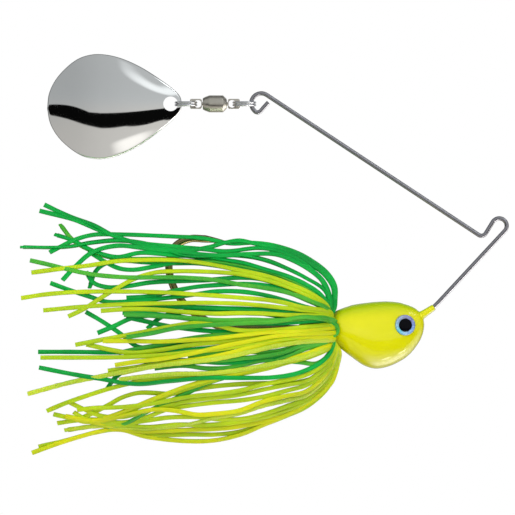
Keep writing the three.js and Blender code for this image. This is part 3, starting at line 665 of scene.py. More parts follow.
def lathe(profile, sides):
    """A body turned about X from (x, radius) points. A radius of 0 closes an end; otherwise it is a ring."""
    closed = profile[0][1] > 0
    vertices, faces, rows = [], [], []
    for x, radius in profile:
        if radius == 0:
            rows.append([len(vertices)] * sides)
            vertices.append(Vector((x, 0, 0)))
            continue
        rows.append(list(range(len(vertices), len(vertices) + sides)))
        vertices += [Vector((x, radius * math.cos(TURN * i / sides), radius * math.sin(TURN * i / sides)))
                     for i in range(sides)]
    pairs = list(zip(rows, rows[1:])) + ([(rows[-1], rows[0])] if closed else [])
    for here, there in pairs:
        for side in range(sides):
            following = (side + 1) % sides
            corners = [here[side], there[side], there[following], here[following]]
            face = [corner for index, corner in enumerate(corners) if corner not in corners[:index]]
            faces.append(face)
    return vertices, faces


def rounded(profile, corners, radius, steps=4):
    """The profile with the numbered corners rounded off."""
    result = []
    for index, point in enumerate(profile):
        if index not in corners:
            result.append(point)
            continue
        here = Vector(point)
        to_before = (Vector(profile[index - 1]) - here).normalized()
        to_after = (Vector(profile[(index + 1) % len(profile)]) - here).normalized()
        for step in range(steps + 1):
            t = step / steps
            result.append(tuple(here + radius * (to_before * (1 - t) ** 2 + to_after * t ** 2)))
    return result


# ---- Wire frame -------------------------------------------------------------------------------------

def run_heading(start, end):
    """The heading of the straight run that leaves one bend and meets the next, touching both."""
    (x0, z0), radius0, turn0 = start
    (x1, z1), radius1, turn1 = end
    bearing = math.atan2(z1 - z0, x1 - x0)
    return bearing - math.asin((turn1 * radius1 - turn0 * radius0) / math.hypot(x1 - x0, z1 - z0))


def wire_path():
    headings = [run_heading(start, end) for start, end in zip(WIRE_BENDS, WIRE_BENDS[1:])]
    headings.append(math.radians(WIRE_END_HEADING))
    cut_x, cut_z = WIRE_BENDS[0][0]
    points = [Vector((cut_x, 0, cut_z))]
    for ((x, z), radius, turn), arriving, leaving in zip(WIRE_BENDS[1:], headings, headings[1:]):
        swept = (turn * (leaving - arriving)) % TURN
        steps = max(2, math.ceil(math.degrees(swept) / BEND_STEP))
        for step in range(steps + 1):
            heading = arriving + turn * swept * step / steps
            points.append(Vector((x + turn * radius * math.sin(heading), 0,
                                  z - turn * radius * math.cos(heading))))
    return points


wire = mesh_object("wire_frame_smooth", *tube(wire_path(), WIRE_RADIUS, sides=24), WIRE_STEEL)
finish_piece(wire, "frame", ["wire_frame"])


# ---- Head and eyes ----------------------------------------------------------------------------------

def head_skin():
    """The egg of the head, a fine skin through the oval sections."""
    nose_x, nose_z = HEAD_NOSE
    rows = [(nose_x, nose_z + NOSE_TIP, nose_z - NOSE_TIP, NOSE_TIP), *HEAD_SECTIONS]
    middle = spline([(x, (top + bottom) / 2, 0) for x, top, bottom, _ in rows], SKIN_SPACING)
    size = spline([(x, (top - bottom) / 2, half) for x, top, bottom, half in rows], SKIN_SPACING)
    turns = [TURN * side / SKIN_SIDES for side in range(SKIN_SIDES)]
    rings = []
    for x, height, half in size:
        centre = min(middle, key=lambda point: abs(point.x - x)).y
        rings.append([(x, half * math.sin(turn), centre + height * math.cos(turn)) for turn in turns])
    return skin(rings)


def cast_head():
    head = mesh_object("head_cast", *head_skin(), PAINT)
    start, end = (Vector((x, 0, z)) for x, z in (STUB_FROM, STUB_TO))
    stub = mesh_object("stub", *tube([start, start.lerp(end, 0.5), end], STUB_RADII, sides=32), PAINT)
    tail = mesh_object("tail", *tube([(x, 0, SKIRT_Z) for x in KEEPER_XS], KEEPER_RADIUS, sides=32), PAINT)
    boolean(head, stub, "UNION")
    boolean(head, tail, "UNION")
    remesh = head.modifiers.new("remesh", "REMESH")
    remesh.mode = "VOXEL"
    remesh.voxel_size = CAST_VOXEL * MM
    smooth = head.modifiers.new("smooth", "SMOOTH")
    smooth.factor, smooth.iterations = 0.5, 5
    apply_modifiers(head)
    for side in (-1, 1):
        bore = [(0, POCKET_STEP * step - EYE_DEPTH - POCKET_FLOOR_GAP, 0) for step in range(3)]
        tool = mesh_object("pocket", *tube(bore, EYE_RADIUS + POCKET_GAP, sides=48), PAINT)
        tool.data.transform(eye_place(side))
        boolean(head, tool, "DIFFERENCE")
    return head


def eye_place(side):
    """Carries a piece made about the Y axis at the origin, in metres, to the eye on that side."""
    turn = Matrix.Rotation(-side * math.radians(EYE_TOE_IN), 4, "Z")
    flip = Matrix.Rotation(math.pi if side < 0 else 0, 4, "Z")
    shift = Matrix.Translation(Vector((EYE_CENTRE.x, side * EYE_CENTRE.y, EYE_CENTRE.z)) * MM)
    return shift @ turn @ flip


def turned_at_eye(name, profile, side, material, node):
    """A lathe body, given as (y, radius) points, set at an eye."""
    piece = mesh_object(name, *lathe(profile, sides=72), material)
    piece.data.transform(eye_place(side) @ Matrix.Rotation(math.pi / 2, 4, "Z"))
    finish_piece(piece, "frame", [node], sharp_angle=50)


def add_eyes():
    rim = [(0.30, EYE_RADIUS), (0.42, EYE_RADIUS - 0.05), (0.47, EYE_RADIUS - 0.18),
           (0.45, EYE_RADIUS - 0.34), (0.38, EYE_RADIUS - 0.5)]
    floor = -EYE_DEPTH + 0.05
    iris = [(floor, 0), (floor, EYE_RADIUS), *rim,
            (0.32, PUPIL_RADIUS + 0.12), (0.0, PUPIL_RADIUS + 0.08), (0.0, 0)]
    leans = [math.pi / 2 * step / 10 for step in range(10)]
    dome = [(PUPIL_RIM + PUPIL_DOME * math.sin(lean), PUPIL_RADIUS * math.cos(lean)) for lean in leans]
    pupil = [(PUPIL_BASE, 0), (PUPIL_BASE, PUPIL_RADIUS), *dome, (PUPIL_RIM + PUPIL_DOME, 0)]
    for side_name, side in (("left", -1), ("right", 1)):
        turned_at_eye(f"iris_{side_name}", iris, side, IRIS, f"eye_iris_{side_name}")
        turned_at_eye(f"pupil_{side_name}", pupil, side, PUPIL, f"eye_pupil_{side_name}")


finish_piece(cast_head(), "frame", ["head_casting"], sharp_angle=40)
add_eyes()


# ---- Hook -------------------------------------------------------------------------------------------

def forged_hook():
    path = spline([(x, 0, z) for x, z in HOOK_PATH], 0.5)
    taper = spline([(*HOOK_PATH[-1], 0), (*HOOK_TIP, 0)], 0.4)
    taper = [Vector((point.x, 0, point.y)) for point in taper[1:]]
    radii = [HOOK_RADIUS] * len(path)
    for index in range(len(taper)):
        left = 1 - (index + 1) / len(taper)
        radii.append(HOOK_RADIUS * left ** HOOK_TAPER + HOOK_POINT_RADIUS)
    hook = mesh_object("hook_forged", *tube([*path, *taper], radii, sides=28), HOOK_BRONZE)
    root, tip = (Vector((x, 0, z)) for x, z in (BARB_ROOT, BARB_TIP))
    barb = mesh_object("barb", *tube([root, root.lerp(tip, 0.5), tip], BARB_RADII, sides=12), HOOK_BRONZE)
    boolean(hook, barb, "UNION")
    return hook


finish_piece(forged_hook(), "frame", ["hook"])


# ---- Swivel, split rings and blade ------------------------------------------------------------------

def split_ring_path(front_x, rear_x):
    """Two turns of wire side by side, stepped across each other at one place."""
    step_angle, step_place = math.radians(RING_STEP_HALF), math.radians(RING_STEP_PLACE)
    centre, radius = (front_x + rear_x) / 2, (front_x - rear_x) / 2
    total = 2 * TURN - 2 * step_angle
    points = []
    for facet in range(RING_FACETS + 1):
        along = step_angle + total * facet / RING_FACETS
        climb = min(max((along - TURN + step_angle) / (2 * step_angle), 0), 1)
        climb = climb * climb * (3 - 2 * climb)
        angle = step_place + along
        points.append((centre + radius * math.cos(angle), radius * math.sin(angle),
                       CHAIN_Z + COIL_OFFSET * (2 * climb - 1)))
    return points


def add_split_ring(name, front_x, rear_x, body, node):
    ring = mesh_object(name, *tube(split_ring_path(front_x, rear_x), RING_WIRE, sides=16), RING_STEEL)
    finish_piece(ring, body, [node])


def eye_loops(facing):
    """The outline of an eye block and its hole, both drawn in by the rounding of the edges."""
    size = SWIVEL_EYE
    edge, corner = size["edge"], size["corner"] - size["edge"]
    corner_x, corner_z = size["length"] / 2 - edge - corner, size["height"] / 2 - edge - corner
    outline = []
    for quarter, (sx, sz) in enumerate(((1, 1), (-1, 1), (-1, -1), (1, -1))):
        for step in range(9):
            angle = math.pi / 2 * (quarter + step / 8)
            outline.append((sx * corner_x + corner * math.cos(angle),
                            sz * corner_z + corner * math.sin(angle)))
    radius = size["hole"] + edge
    turns = [TURN * side / 40 for side in range(40)]
    hole = [(radius * math.cos(turn) - facing * size["offset"], radius * math.sin(turn)) for turn in turns]
    return outline, hole


def eye_block(name, facing):
    """The mesh of an eye block with rounded edges, lying flat about its middle."""
    curve = bpy.data.curves.new(name, "CURVE")
    curve.dimensions, curve.fill_mode = "2D", "BOTH"
    curve.bevel_depth, curve.bevel_resolution = SWIVEL_EYE["edge"] * MM, 3
    curve.extrude = (SWIVEL_EYE["thickness"] / 2 - SWIVEL_EYE["edge"]) * MM
    for loop in eye_loops(facing):
        spline_data = curve.splines.new("POLY")
        spline_data.points.add(len(loop) - 1)
        for point, (x, z) in zip(spline_data.points, loop):
            point.co = (x * MM, z * MM, 0, 1)
        spline_data.use_cyclic_u = True
    block = bpy.data.objects.new(name, curve)
    bpy.context.scene.collection.objects.link(block)
    graph = bpy.context.evaluated_depsgraph_get()
    mesh = bpy.data.meshes.new_from_object(block.evaluated_get(graph))
    bpy.data.objects.remove(block)
    return mesh


def swivel_eye(name, hole_x, facing, stem_end, body, node):
    """An eye block on edge, with its hole along Y, and its stem."""
    mesh = eye_block(name, facing)
    place = Vector((hole_x + facing * SWIVEL_EYE["offset"], 0, CHAIN_Z)) * MM
    mesh.transform(Matrix.Translation(place) @ Matrix.Rotation(math.pi / 2, 4, "X"))
    mesh.materials.clear()
    mesh.materials.append(SWIVEL_NICKEL)
    piece = bpy.data.objects.new(name, mesh)
    bpy.context.scene.collection.objects.link(piece)
    start = Vector((hole_x - facing * (SWIVEL_EYE["hole"] + STEM_ROOT), 0, CHAIN_Z))
    end = Vector((stem_end, 0, CHAIN_Z))
    route = [start, start.lerp(end, 0.5), end]
    stem = mesh_object("stem", *tube(route, STEM_RADIUS, sides=24), SWIVEL_NICKEL)
    boolean(piece, stem, "UNION")
    finish_piece(piece, body, [node])


def add_barrel():
    """The hollow barrel: a cone at each end, rolled edges and the race inside."""
    front, rear = BARREL_HIGH.x, BARREL_LOW.x
    radius = (BARREL_HIGH.z - BARREL_LOW.z) / 2
    step_x, step_radius = BARREL_REAR_STEP
    outside = [
        (front, BARREL_MOUTH), (front, BARREL_FRONT_FACE), (front - BARREL_FRONT_CONE, radius),
        (rear + BARREL_REAR_CONE, radius), (rear + step_x, step_radius), (rear, BARREL_REAR_FACE),
    ]
    inside = [
        (rear, BARREL_MOUTH), (rear + RACE_REAR_WALL, BARREL_MOUTH), (rear + RACE_REAR_WALL, RACE_RADIUS),
        (front - RACE_FRONT_WALL, RACE_RADIUS), (front - RACE_FRONT_WALL, BARREL_MOUTH),
    ]
    profile = rounded(outside + inside, (1, 2, 3, 4, 5), BARREL_EDGE)
    shell = mesh_object("swivel_barrel_turned", *lathe(profile, sides=72), SWIVEL_NICKEL)
    shell.data.transform(Matrix.Translation(Vector((0, 0, CHAIN_Z)) * MM))
    finish_piece(shell, "swivel_body", ["swivel_barrel"], sharp_angle=25)


def half_outline(spacing):
    return [(point.x, point.y) for point in spline([(*corner, 0) for corner in BLADE_HALF_OUTLINE], spacing)]


def half_width(outline, along):
    """Half the blade's width at a distance from its tip."""
    for (near, width), (far, far_width) in zip(outline, outline[1:]):
        if near <= along <= far:
            return width + (far_width - width) * (along - near) / (far - near)
    return 1e-3


def cup_depth(outline, along, width):
    """Deepest at the hub and none at the rim, with sides that are nearly straight towards the rim."""
    length = BLADE_HUB if along < BLADE_HUB else BLADE_HALF_OUTLINE[-1][0] - BLADE_HUB
    crown = max(1 - ((along - BLADE_HUB) / length) ** 2, 0)
    across = min(abs(width) / max(half_width(outline, along), 1e-3), 1)
    return BLADE_CUP * crown * (1 - across**2 * (1 + CUP_STRAIGHTNESS - CUP_STRAIGHTNESS * across**2))


def stamped_blade():
    """Two cupped faces that meet in a rolled rim."""
    half = half_outline(BLADE_SPACING)
    fine = half_outline(BLADE_FINE_SPACING)
    outline = half + [(along, -width) for along, width in half[-2:0:-1]]
    around = len(outline)
    face_rows = [(step / BLADE_ROWS, 1.0) for step in range(1, BLADE_ROWS)] + BLADE_RIM
    rows = [*face_rows, (1.0, 0.0), *((share, -lift) for share, lift in reversed(face_rows))]
    vertices, faces = [], []

    def place(along, width, lift):
        vertices.append((BLADE_TIP - along, -lift * BLADE_THICKNESS / 2 - cup_depth(fine, along, width),
                         CHAIN_Z + width))

    place(BLADE_HUB, 0, 1.0)
    for share, lift in rows:
        for along, width in outline:
            place(BLADE_HUB + (along - BLADE_HUB) * share, width * share, lift)
    place(BLADE_HUB, 0, -1.0)
    last = len(vertices) - 1
    for step in range(around):
        following = (step + 1) % around
        faces.append([0, 1 + step, 1 + following])
        for row in range(len(rows) - 1):
            start = 1 + row * around
            faces.append([start + step, start + around + step, start + around + following, start + following])
        rim = 1 + (len(rows) - 1) * around
        faces.append([last, rim + following, rim + step])
    blade = mesh_object("blade_stamped", vertices, faces, BLADE_NICKEL)
    bore = [(BLADE_HOLE_X, y, CHAIN_Z) for y in (-PUNCH_REACH, 0, PUNCH_REACH)]
    punch = mesh_object("punch", *tube(bore, BLADE_HOLE_RADIUS, sides=64), BLADE_NICKEL)
    boolean(blade, punch, "DIFFERENCE")
    pivot = Vector((BLADE_HOLE_X, 0, CHAIN_Z)) * MM
    blade.data.transform(Matrix.Translation(pivot) @ Matrix.Rotation(-math.radians(BLADE_DROOP), 4, "Y")
                         @ Matrix.Translation(-pivot))
    return blade


add_split_ring("arm_ring_wound", ARM_RING_FRONT, FRONT_EYE_HOLE + HOLE_OFFSET, "arm_ring", "arm_split_ring")
add_split_ring("blade_ring_wound", REAR_EYE_HOLE - HOLE_OFFSET, BLADE_RING_END, "blade_ring",
               "blade_split_ring")
add_barrel()
swivel_eye("front_eye_forged", FRONT_EYE_HOLE, 1, FRONT_STEM_END, "swivel_body", "swivel_front_eye")
swivel_eye("rear_eye_forged", REAR_EYE_HOLE, -1, REAR_STEM_END, "swivel_shaft", "swivel_rear_eye")
finish_piece(stamped_blade(), "blade", ["spinner_blade"], sharp_angle=30)
for number in range(1, BALL_COUNT + 1):
    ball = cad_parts[f"swivel_ball_{number:02d}"]
    for material_slot in ball.material_slots:
        material_slot.material = BALL_STEEL


# ---- Skirt ------------------------------------------------------------------------------------------

def add_collar():
    """A rubber band with soft edges."""
    front, rear = COLLAR_HIGH.x, COLLAR_LOW.x
    outer = (COLLAR_HIGH.z - COLLAR_LOW.z) / 2
    section = [(front, COLLAR_BORE), (front, outer), (rear, outer), (rear, COLLAR_BORE)]
    profile = rounded(section, (1, 2), COLLAR_EDGE, steps=6)
    band = mesh_object("collar_band", *lathe(profile, sides=96), COLLAR_RUBBER)
    band.data.transform(Matrix.Translation(Vector((0, 0, SKIRT_Z)) * MM))
    finish_piece(band, "frame", ["skirt_collar"], sharp_angle=60)


# Each strand: dye, how far out it lies (1 is the skirt's outside), turn on its own length in degrees, and
# the places that it passes, from the neck to the tip, as x and z.
STRANDS = [
    # Over the top.
    ("green", 0.92, 0, [(-35.1, -18), (-34.7, -15.5), (-34.8, -12.6), (-36.6, -9.8), (-40, -7.2),
        (-43.8, -5.3), (-48, -4.1), (-52, -3.6), (-57, -3.7), (-63, -2.6), (-68, -2.3), (-81, -1.8),
        (-86, -1.9), (-90, -3), (-95.2, -5.6)]),
    ("green", 0.98, 0, [(-35.2, -18), (-35, -15.5), (-35.2, -13), (-37, -10.3), (-40.3, -7.9), (-44, -5.7),
        (-48, -4.5), (-52, -3.7), (-55, -3.1), (-57.8, -3.5), (-61, -4.4), (-65, -5.1), (-70, -5.3),
        (-76, -4.6), (-81, -4.2), (-86, -5.5), (-89.5, -8.3), (-92.5, -11.5)]),
    ("green", 0.94, 10, [(-35.8, -17.5), (-36, -14.5), (-37.1, -12), (-39.3, -9.7), (-43, -7), (-47, -5.3),
        (-51, -4.7), (-58, -5.4), (-63, -4.9), (-69, -4.4), (-77, -3.5), (-81, -2.4), (-86, 0.2),
        (-91, 2.0), (-96.4, 4.5)]),
    ("green", 1.0, 0, [(-36, -17.5), (-36.3, -14.8), (-37.4, -11.8), (-40.3, -9.2), (-44, -7.2),
        (-47.5, -6), (-53, -6), (-60, -6.3), (-68, -5.4), (-76, -3.9), (-84, -1.2), (-90, 1.3),
        (-97.4, 3.2)]),
    ("green", 0.96, 62, [(-35.8, -17), (-37, -13.7), (-41, -11), (-45, -9), (-49, -7.4), (-53, -6.5),
        (-57, -6.2), (-62, -6.6), (-67, -6.3), (-73, -4.2), (-80, -3.1), (-86, -3.5), (-92, -4.5),
        (-101.5, -4.5)]),
    ("green", 0.9, 20, [(-36, -17.5), (-37.8, -14.6), (-41, -12.4), (-45, -10.6), (-49, -9.4), (-54, -7.9),
        (-58, -7.2), (-62, -6.5), (-68, -6.3), (-76, -5.7), (-81, -6.6), (-86, -5.3), (-90.5, -3),
        (-94.2, -1.8)]),
    ("leaf", 0.86, 30, [(-36.2, -17.8), (-39, -14.4), (-43, -12), (-48, -10), (-54, -8.6), (-60, -7.6),
        (-66, -7.4), (-72, -7.0), (-78, -7.0), (-83, -6.5), (-87, -5), (-90.3, -3), (-93, 0.3)]),
    ("green", 0.84, 0, [(-36.1, -17.6), (-39, -13.8), (-43.5, -11.2), (-48, -10.3), (-53, -9.2),
        (-57, -8.2), (-62, -7.5), (-68, -7.7), (-73, -8.6), (-77.5, -9.3), (-80.5, -9), (-83.5, -7.6),
        (-87, -5.4)]),
    ("green", 0.8, 35, [(-36.3, -18), (-40, -14.8), (-45, -12.6), (-50, -10.8), (-56, -9.2), (-63, -8.0),
        (-70, -7.9), (-75, -7.7), (-80, -7.4), (-83.5, -8), (-85.6, -9.8), (-86.8, -13.2)]),
    # The near side, from the top down.
    ("lime", 1.0, 0, [(-36.2, -17.4), (-40, -14.3), (-44, -12.5), (-48, -11), (-52, -10), (-57, -9),
        (-62, -8), (-68, -7.3), (-73, -7.2), (-81, -7.5), (-87, -8.4), (-93, -9.1), (-99.1, -9.9)]),
    ("lime", 0.97, 0, [(-36.2, -17.8), (-40, -15.2), (-44, -13.3), (-48, -11.9), (-52, -10.8), (-56, -10.1),
        (-62, -9.7), (-68, -9.6), (-73, -9.9), (-77, -11.1), (-81, -13.2), (-84.6, -15.4), (-88, -17.6),
        (-91.3, -19.2)]),
    ("leaf", 1.0, 0, [(-36, -18), (-40, -15.9), (-45, -14.1), (-50, -13.1), (-55, -12.4), (-60, -11.5),
        (-66, -11), (-71, -10.9), (-79, -10.9), (-86, -10.3), (-91, -9.3), (-95, -8.3), (-99.4, -7.3)]),
    ("green", 0.9, 0, [(-36.5, -18.2), (-42, -15.2), (-49, -12.7), (-54, -12.3), (-59, -12.5), (-64, -12.9),
        (-69, -13.8), (-74, -14.9), (-79, -15.2)]),
    ("green", 0.88, 0, [(-36.4, -18), (-41, -15), (-46, -12.7), (-51, -11.2), (-56, -11), (-62, -11.5),
        (-68, -11.7), (-74, -12), (-79, -12.8), (-83, -13), (-86, -12), (-87.5, -9.7)]),
    ("green", 0.92, 0, [(-36, -18.6), (-41, -17.2), (-45.5, -15.8), (-50, -14.6), (-55, -13.9),
        (-60, -13.9), (-65, -14.6), (-70, -15.2), (-76, -15.8), (-83, -16.1), (-87, -14.9), (-91, -13.6),
        (-95.1, -12.1)]),
    ("lime", 1.0, 0, [(-35.6, -18.5), (-42, -17.2), (-46, -16.2), (-50, -15.6), (-55, -15.2), (-60, -14.8),
        (-65, -14.5), (-71, -14.1), (-81, -13.9), (-89, -14), (-96, -14.5), (-101.3, -15.3)]),
    ("lime", 0.97, 0, [(-35.4, -18.9), (-42, -17.8), (-47, -17.2), (-52, -16.7), (-57, -16.4), (-63, -16.3),
        (-71, -16.4), (-81, -16.7), (-89, -17.2), (-96.6, -17.9)]),
    ("green", 0.88, 0, [(-35.6, -19.4), (-42, -18.4), (-48, -17.9), (-54, -17.6), (-60, -17.4),
        (-66, -17.2), (-72, -17), (-80, -17.1)]),
    ("lime", 0.95, 0, [(-35.2, -19.4), (-40, -19), (-45, -18.9), (-50, -18.6), (-55, -18.5), (-60, -18.6),
        (-66, -18.3), (-72, -17.8), (-78, -17.6), (-84.4, -18)]),
    ("leaf", 0.98, 0, [(-34.6, -20.5), (-37, -19.5), (-42, -19.7), (-47, -20), (-53, -19.9), (-59, -20),
        (-65, -19.6), (-71, -19.2), (-76, -18.9), (-79.5, -18.8)]),
    ("green", 0.93, 0, [(-34.3, -21.4), (-36.5, -20), (-41, -20.2), (-46, -20.6), (-51, -20.6),
        (-56, -20.5), (-62, -20.1), (-68, -19.4), (-74, -18.6), (-79.8, -18.4)]),
    ("green", 0.86, 0, [(-35, -20.3), (-40, -20.2), (-45, -20), (-50, -20.1), (-56, -20.2), (-62, -20.2),
        (-68, -19.2), (-74, -19), (-78, -19.6), (-81.5, -21.2), (-85.1, -22.7)]),
    ("lime", 0.97, 0, [(-35, -21), (-41, -21.4), (-46, -21.9), (-51, -22.2), (-56, -22), (-60, -21),
        (-64.5, -20.6), (-69, -21.2), (-76, -22.6), (-84, -24.1), (-89.8, -25.2)]),
    ("green", 0.85, 0, [(-35.4, -21.6), (-42, -22), (-50, -22.6), (-56, -22.6), (-62, -22.2), (-67, -21.7),
        (-71, -21.1), (-75, -20.2), (-79, -19.3)]),
    ("green", 0.82, 30, [(-35.4, -20.6), (-44, -19.6), (-52, -18.4), (-60, -17.9), (-67, -18.2),
        (-71.5, -19.3), (-74.6, -21.8)]),
    ("green", 0.84, 0, [(-35.4, -22), (-43, -22.5), (-50, -22.9), (-57, -23.4), (-63, -24.3), (-69, -25.2),
        (-74, -25.9), (-77, -25.4), (-80, -23), (-84, -20.3), (-87.6, -18.2)]),
    ("leaf", 0.9, 0, [(-35, -21.8), (-41, -22.3), (-47, -22.7), (-53, -22.8), (-60, -23.2), (-66, -23.9),
        (-72, -25.2), (-77, -26.1), (-80.6, -26.9)]),
    ("gold", 0.99, 0, [(-34.9, -21.6), (-41, -22.3), (-48, -22.5), (-54, -23.1), (-60, -23.8), (-66, -24.2),
        (-72, -24.5), (-78, -24.4), (-84, -24.4)]),
    ("lime", 0.93, 0, [(-35, -22.3), (-42, -23), (-48, -23.4), (-54, -24), (-60, -24.7), (-66, -25.3),
        (-72, -26.3), (-78, -26.9), (-82, -26.3), (-87.5, -25.1)]),
    ("green", 0.9, 0, [(-35.1, -22.8), (-42, -23.5), (-48, -24), (-54, -24.8), (-60, -25.7), (-65, -26.2),
        (-70, -26.5), (-80, -26.8), (-91, -26.7), (-97.7, -26.7)]),
    ("lime", 0.97, 0, [(-34.8, -23), (-42, -23.6), (-48, -24.3), (-54, -25.3), (-60, -26.2), (-66, -26.8),
        (-72, -27.4), (-80, -27.8), (-97.2, -27.9)]),
    ("gold", 1.0, 0, [(-34.7, -22.6), (-41, -22.9), (-47, -23.3), (-53, -24.4), (-59, -25.6), (-65, -27),
        (-71, -28.1), (-77, -28.8), (-81.4, -29.5)]),
    ("lime", 0.94, 0, [(-34.9, -23.5), (-42, -24.2), (-48, -25), (-54, -26.2), (-60, -27.6), (-66, -28.5),
        (-72, -29.2), (-78, -30.1), (-82.9, -30.7)]),
    ("gold", 0.98, 0, [(-34.8, -23.6), (-41, -23.6), (-46, -24.3), (-51, -25.4), (-57, -26.9), (-62, -28),
        (-68, -28.8), (-74, -29.9), (-80, -31.2)]),
    ("glitter", 1.0, 0, [(-34.9, -24), (-42, -24.6), (-48, -25.6), (-54, -27), (-60, -28.2), (-66, -28.9),
        (-72, -29.6), (-78, -30.6), (-84, -31.8), (-91, -33.2), (-99.9, -35.6)]),
    ("leaf", 0.92, 0, [(-36.2, -23.8), (-41.5, -24.9), (-45.5, -26.2), (-50, -26.8), (-55, -26.6),
        (-60, -26.9), (-66, -27.6)]),
    ("leaf", 0.95, 0, [(-36.2, -24.2), (-42, -25.4), (-46, -26.9), (-50, -27.6), (-54, -28), (-60, -28.6),
        (-66, -29)]),
    ("green", 0.89, 0, [(-36.2, -24.5), (-42, -25.7), (-46, -27.5), (-50, -28.3), (-54, -28.8), (-59, -29),
        (-66, -28.5), (-72, -28.9), (-76, -29.8), (-79.5, -30.8), (-81.4, -32.2), (-83, -34.4)]),
    ("leaf", 0.93, 0, [(-36.2, -24.9), (-41, -26), (-45, -27.8), (-50, -29.6), (-54, -30.9), (-58, -32.1),
        (-62, -33.4), (-66, -35.4), (-70, -37.2), (-75, -39.6), (-79, -41.8), (-83, -42.6)]),
    ("gold", 0.97, 0, [(-35.8, -25), (-39, -26.4), (-43, -27.8), (-47, -29.2), (-52, -30.5), (-57, -31.7),
        (-61, -32.5), (-65, -33.6), (-70, -35.4), (-75, -37.4), (-80, -39.5), (-84, -40.8), (-87, -41.3)]),
    ("lime", 0.94, 0, [(-35.9, -25.2), (-40, -27.2), (-44, -28.2), (-48, -29.4), (-54, -31), (-60, -32.6),
        (-66, -34.4), (-71, -36.2), (-76, -38.2), (-81, -40.6), (-86, -41.6), (-90.2, -41)]),
    ("glitter", 1.0, 0, [(-36.1, -25.4), (-39, -27), (-43, -28.2), (-47, -29), (-52, -30), (-57, -30.8),
        (-63, -31.3), (-69, -31.4), (-75, -31.9), (-80.5, -32.6)]),
    ("lime", 0.96, 0, [(-36, -25.7), (-40, -27.7), (-45, -29), (-50, -30.4), (-55, -31.3), (-60, -31.5),
        (-66, -31.9), (-71, -32.2), (-75, -32.7), (-80, -33.8), (-84, -34.9), (-88, -36.2), (-92, -37.6),
        (-95.8, -39.2)]),
    ("green", 1.0, 0, [(-36.2, -21.4), (-35.3, -22.6), (-35.1, -24.6), (-35.8, -26.8), (-37.5, -28.7),
        (-40, -30.2), (-43, -31.3), (-48, -32.1), (-55, -32.2), (-62, -32.2), (-70, -32.9), (-77, -33.5),
        (-85, -32.3), (-91, -31.3), (-97.5, -30)]),
    ("leaf", 0.9, 30, [(-35.6, -24), (-35.6, -26), (-36.8, -28), (-39, -29.2), (-42, -28.9), (-45, -28.7),
        (-49, -28.4), (-53, -29.1), (-57, -30), (-62, -30.2), (-67, -29.6), (-73, -30.2)]),
    ("leaf", 1.06, 0, [(-35.4, -23.2), (-34.5, -22.9), (-34.2, -21.8), (-35.5, -20.5), (-37.9, -19.7),
        (-41.3, -19.3), (-47, -20.2), (-54, -20.6), (-61, -21), (-68, -21.6), (-74, -22.8), (-79, -23.6)]),
    # Under the belly.
    ("lime", 0.98, 0, [(-34.8, -25), (-35.8, -27.8), (-38, -30), (-41, -31.6), (-45, -32.6), (-50, -33.6),
        (-55, -34.9), (-60, -35.6), (-65, -36.1), (-70, -37), (-75, -37.9), (-80, -38.4), (-86, -38.6),
        (-89.4, -39)]),
    ("lime", 0.93, 0, [(-34.9, -25.4), (-35.7, -28.4), (-38, -31), (-41, -32.9), (-45, -33.7), (-50, -34.7),
        (-55, -35.8), (-60, -36.4), (-65, -37), (-70, -38), (-75, -39.3), (-80, -40.5), (-84.5, -40.2),
        (-88.5, -38.6), (-91.4, -37.2)]),
    ("lime", 0.9, 0, [(-34.8, -25.6), (-35.5, -28.8), (-37.6, -31.6), (-41, -33.8), (-45, -34.9),
        (-50, -36.2), (-55, -37), (-60, -37.4), (-65, -38), (-70, -38.8), (-75, -40.6), (-80, -41.6),
        (-86, -41), (-90, -41.3), (-93.6, -41.8)]),
    ("gold", 1.0, 0, [(-34.6, -25.4), (-35.4, -29), (-37.2, -32), (-41, -35.1), (-45, -36), (-50, -37.2),
        (-55, -39.1), (-60, -39.8), (-64, -40), (-69, -39.1), (-73, -38.9), (-78, -39.8), (-84, -41.3),
        (-88, -41.5), (-90.5, -40.6)]),
    ("lime", 0.86, 0, [(-35, -25.6), (-35.9, -28.8), (-38.5, -31.8), (-43, -33.2), (-49, -33.3),
        (-56, -33.6), (-62, -34.2), (-66, -35), (-70, -35.6), (-73, -35.4), (-76.5, -35.4), (-80, -36.4),
        (-82.5, -37.8), (-86, -39.6), (-88.6, -40.8)]),
    ("glitter", 0.97, 0, [(-34.5, -25.6), (-35.3, -29.5), (-37.2, -32.8), (-40.5, -35.7), (-45, -37),
        (-50, -38.1), (-55, -39.7), (-60, -40.6), (-65, -41.9), (-70, -42.6), (-75, -42.9), (-80, -42.6),
        (-85, -42.4), (-92.1, -43.3)]),
    ("lime", 0.93, 0, [(-34.4, -25.8), (-35.2, -30), (-37, -33.3), (-40.5, -36.4), (-45, -38.2),
        (-50, -39.9), (-54, -40.8), (-59, -41), (-64, -40.5), (-70, -40.6), (-75, -41.3), (-80, -42),
        (-84, -41.5), (-88, -40.7), (-90.1, -39.5)]),
    ("lime", 0.96, 0, [(-34.4, -26), (-35, -30.2), (-36.6, -33.3), (-40.5, -37), (-45, -39.1), (-49, -40.4),
        (-53, -41.2), (-58, -41.9), (-63, -42.2), (-68, -42.1), (-74, -42.6), (-80, -42.2), (-85, -41.8),
        (-90, -40.9), (-94.4, -39.9)]),
    ("gold", 0.99, 0, [(-34.3, -26), (-34.8, -30), (-36.4, -33.6), (-40.5, -37.4), (-45, -39.8),
        (-50, -41.4), (-55, -42.5), (-60, -43), (-65, -43.2), (-70, -43.4), (-75, -43.6), (-80, -43),
        (-84, -42), (-88, -41), (-91.9, -40.3)]),
    ("lime", 0.9, 0, [(-34.2, -26.2), (-34.6, -30), (-36.1, -33.9), (-40.2, -37.9), (-45, -40.2),
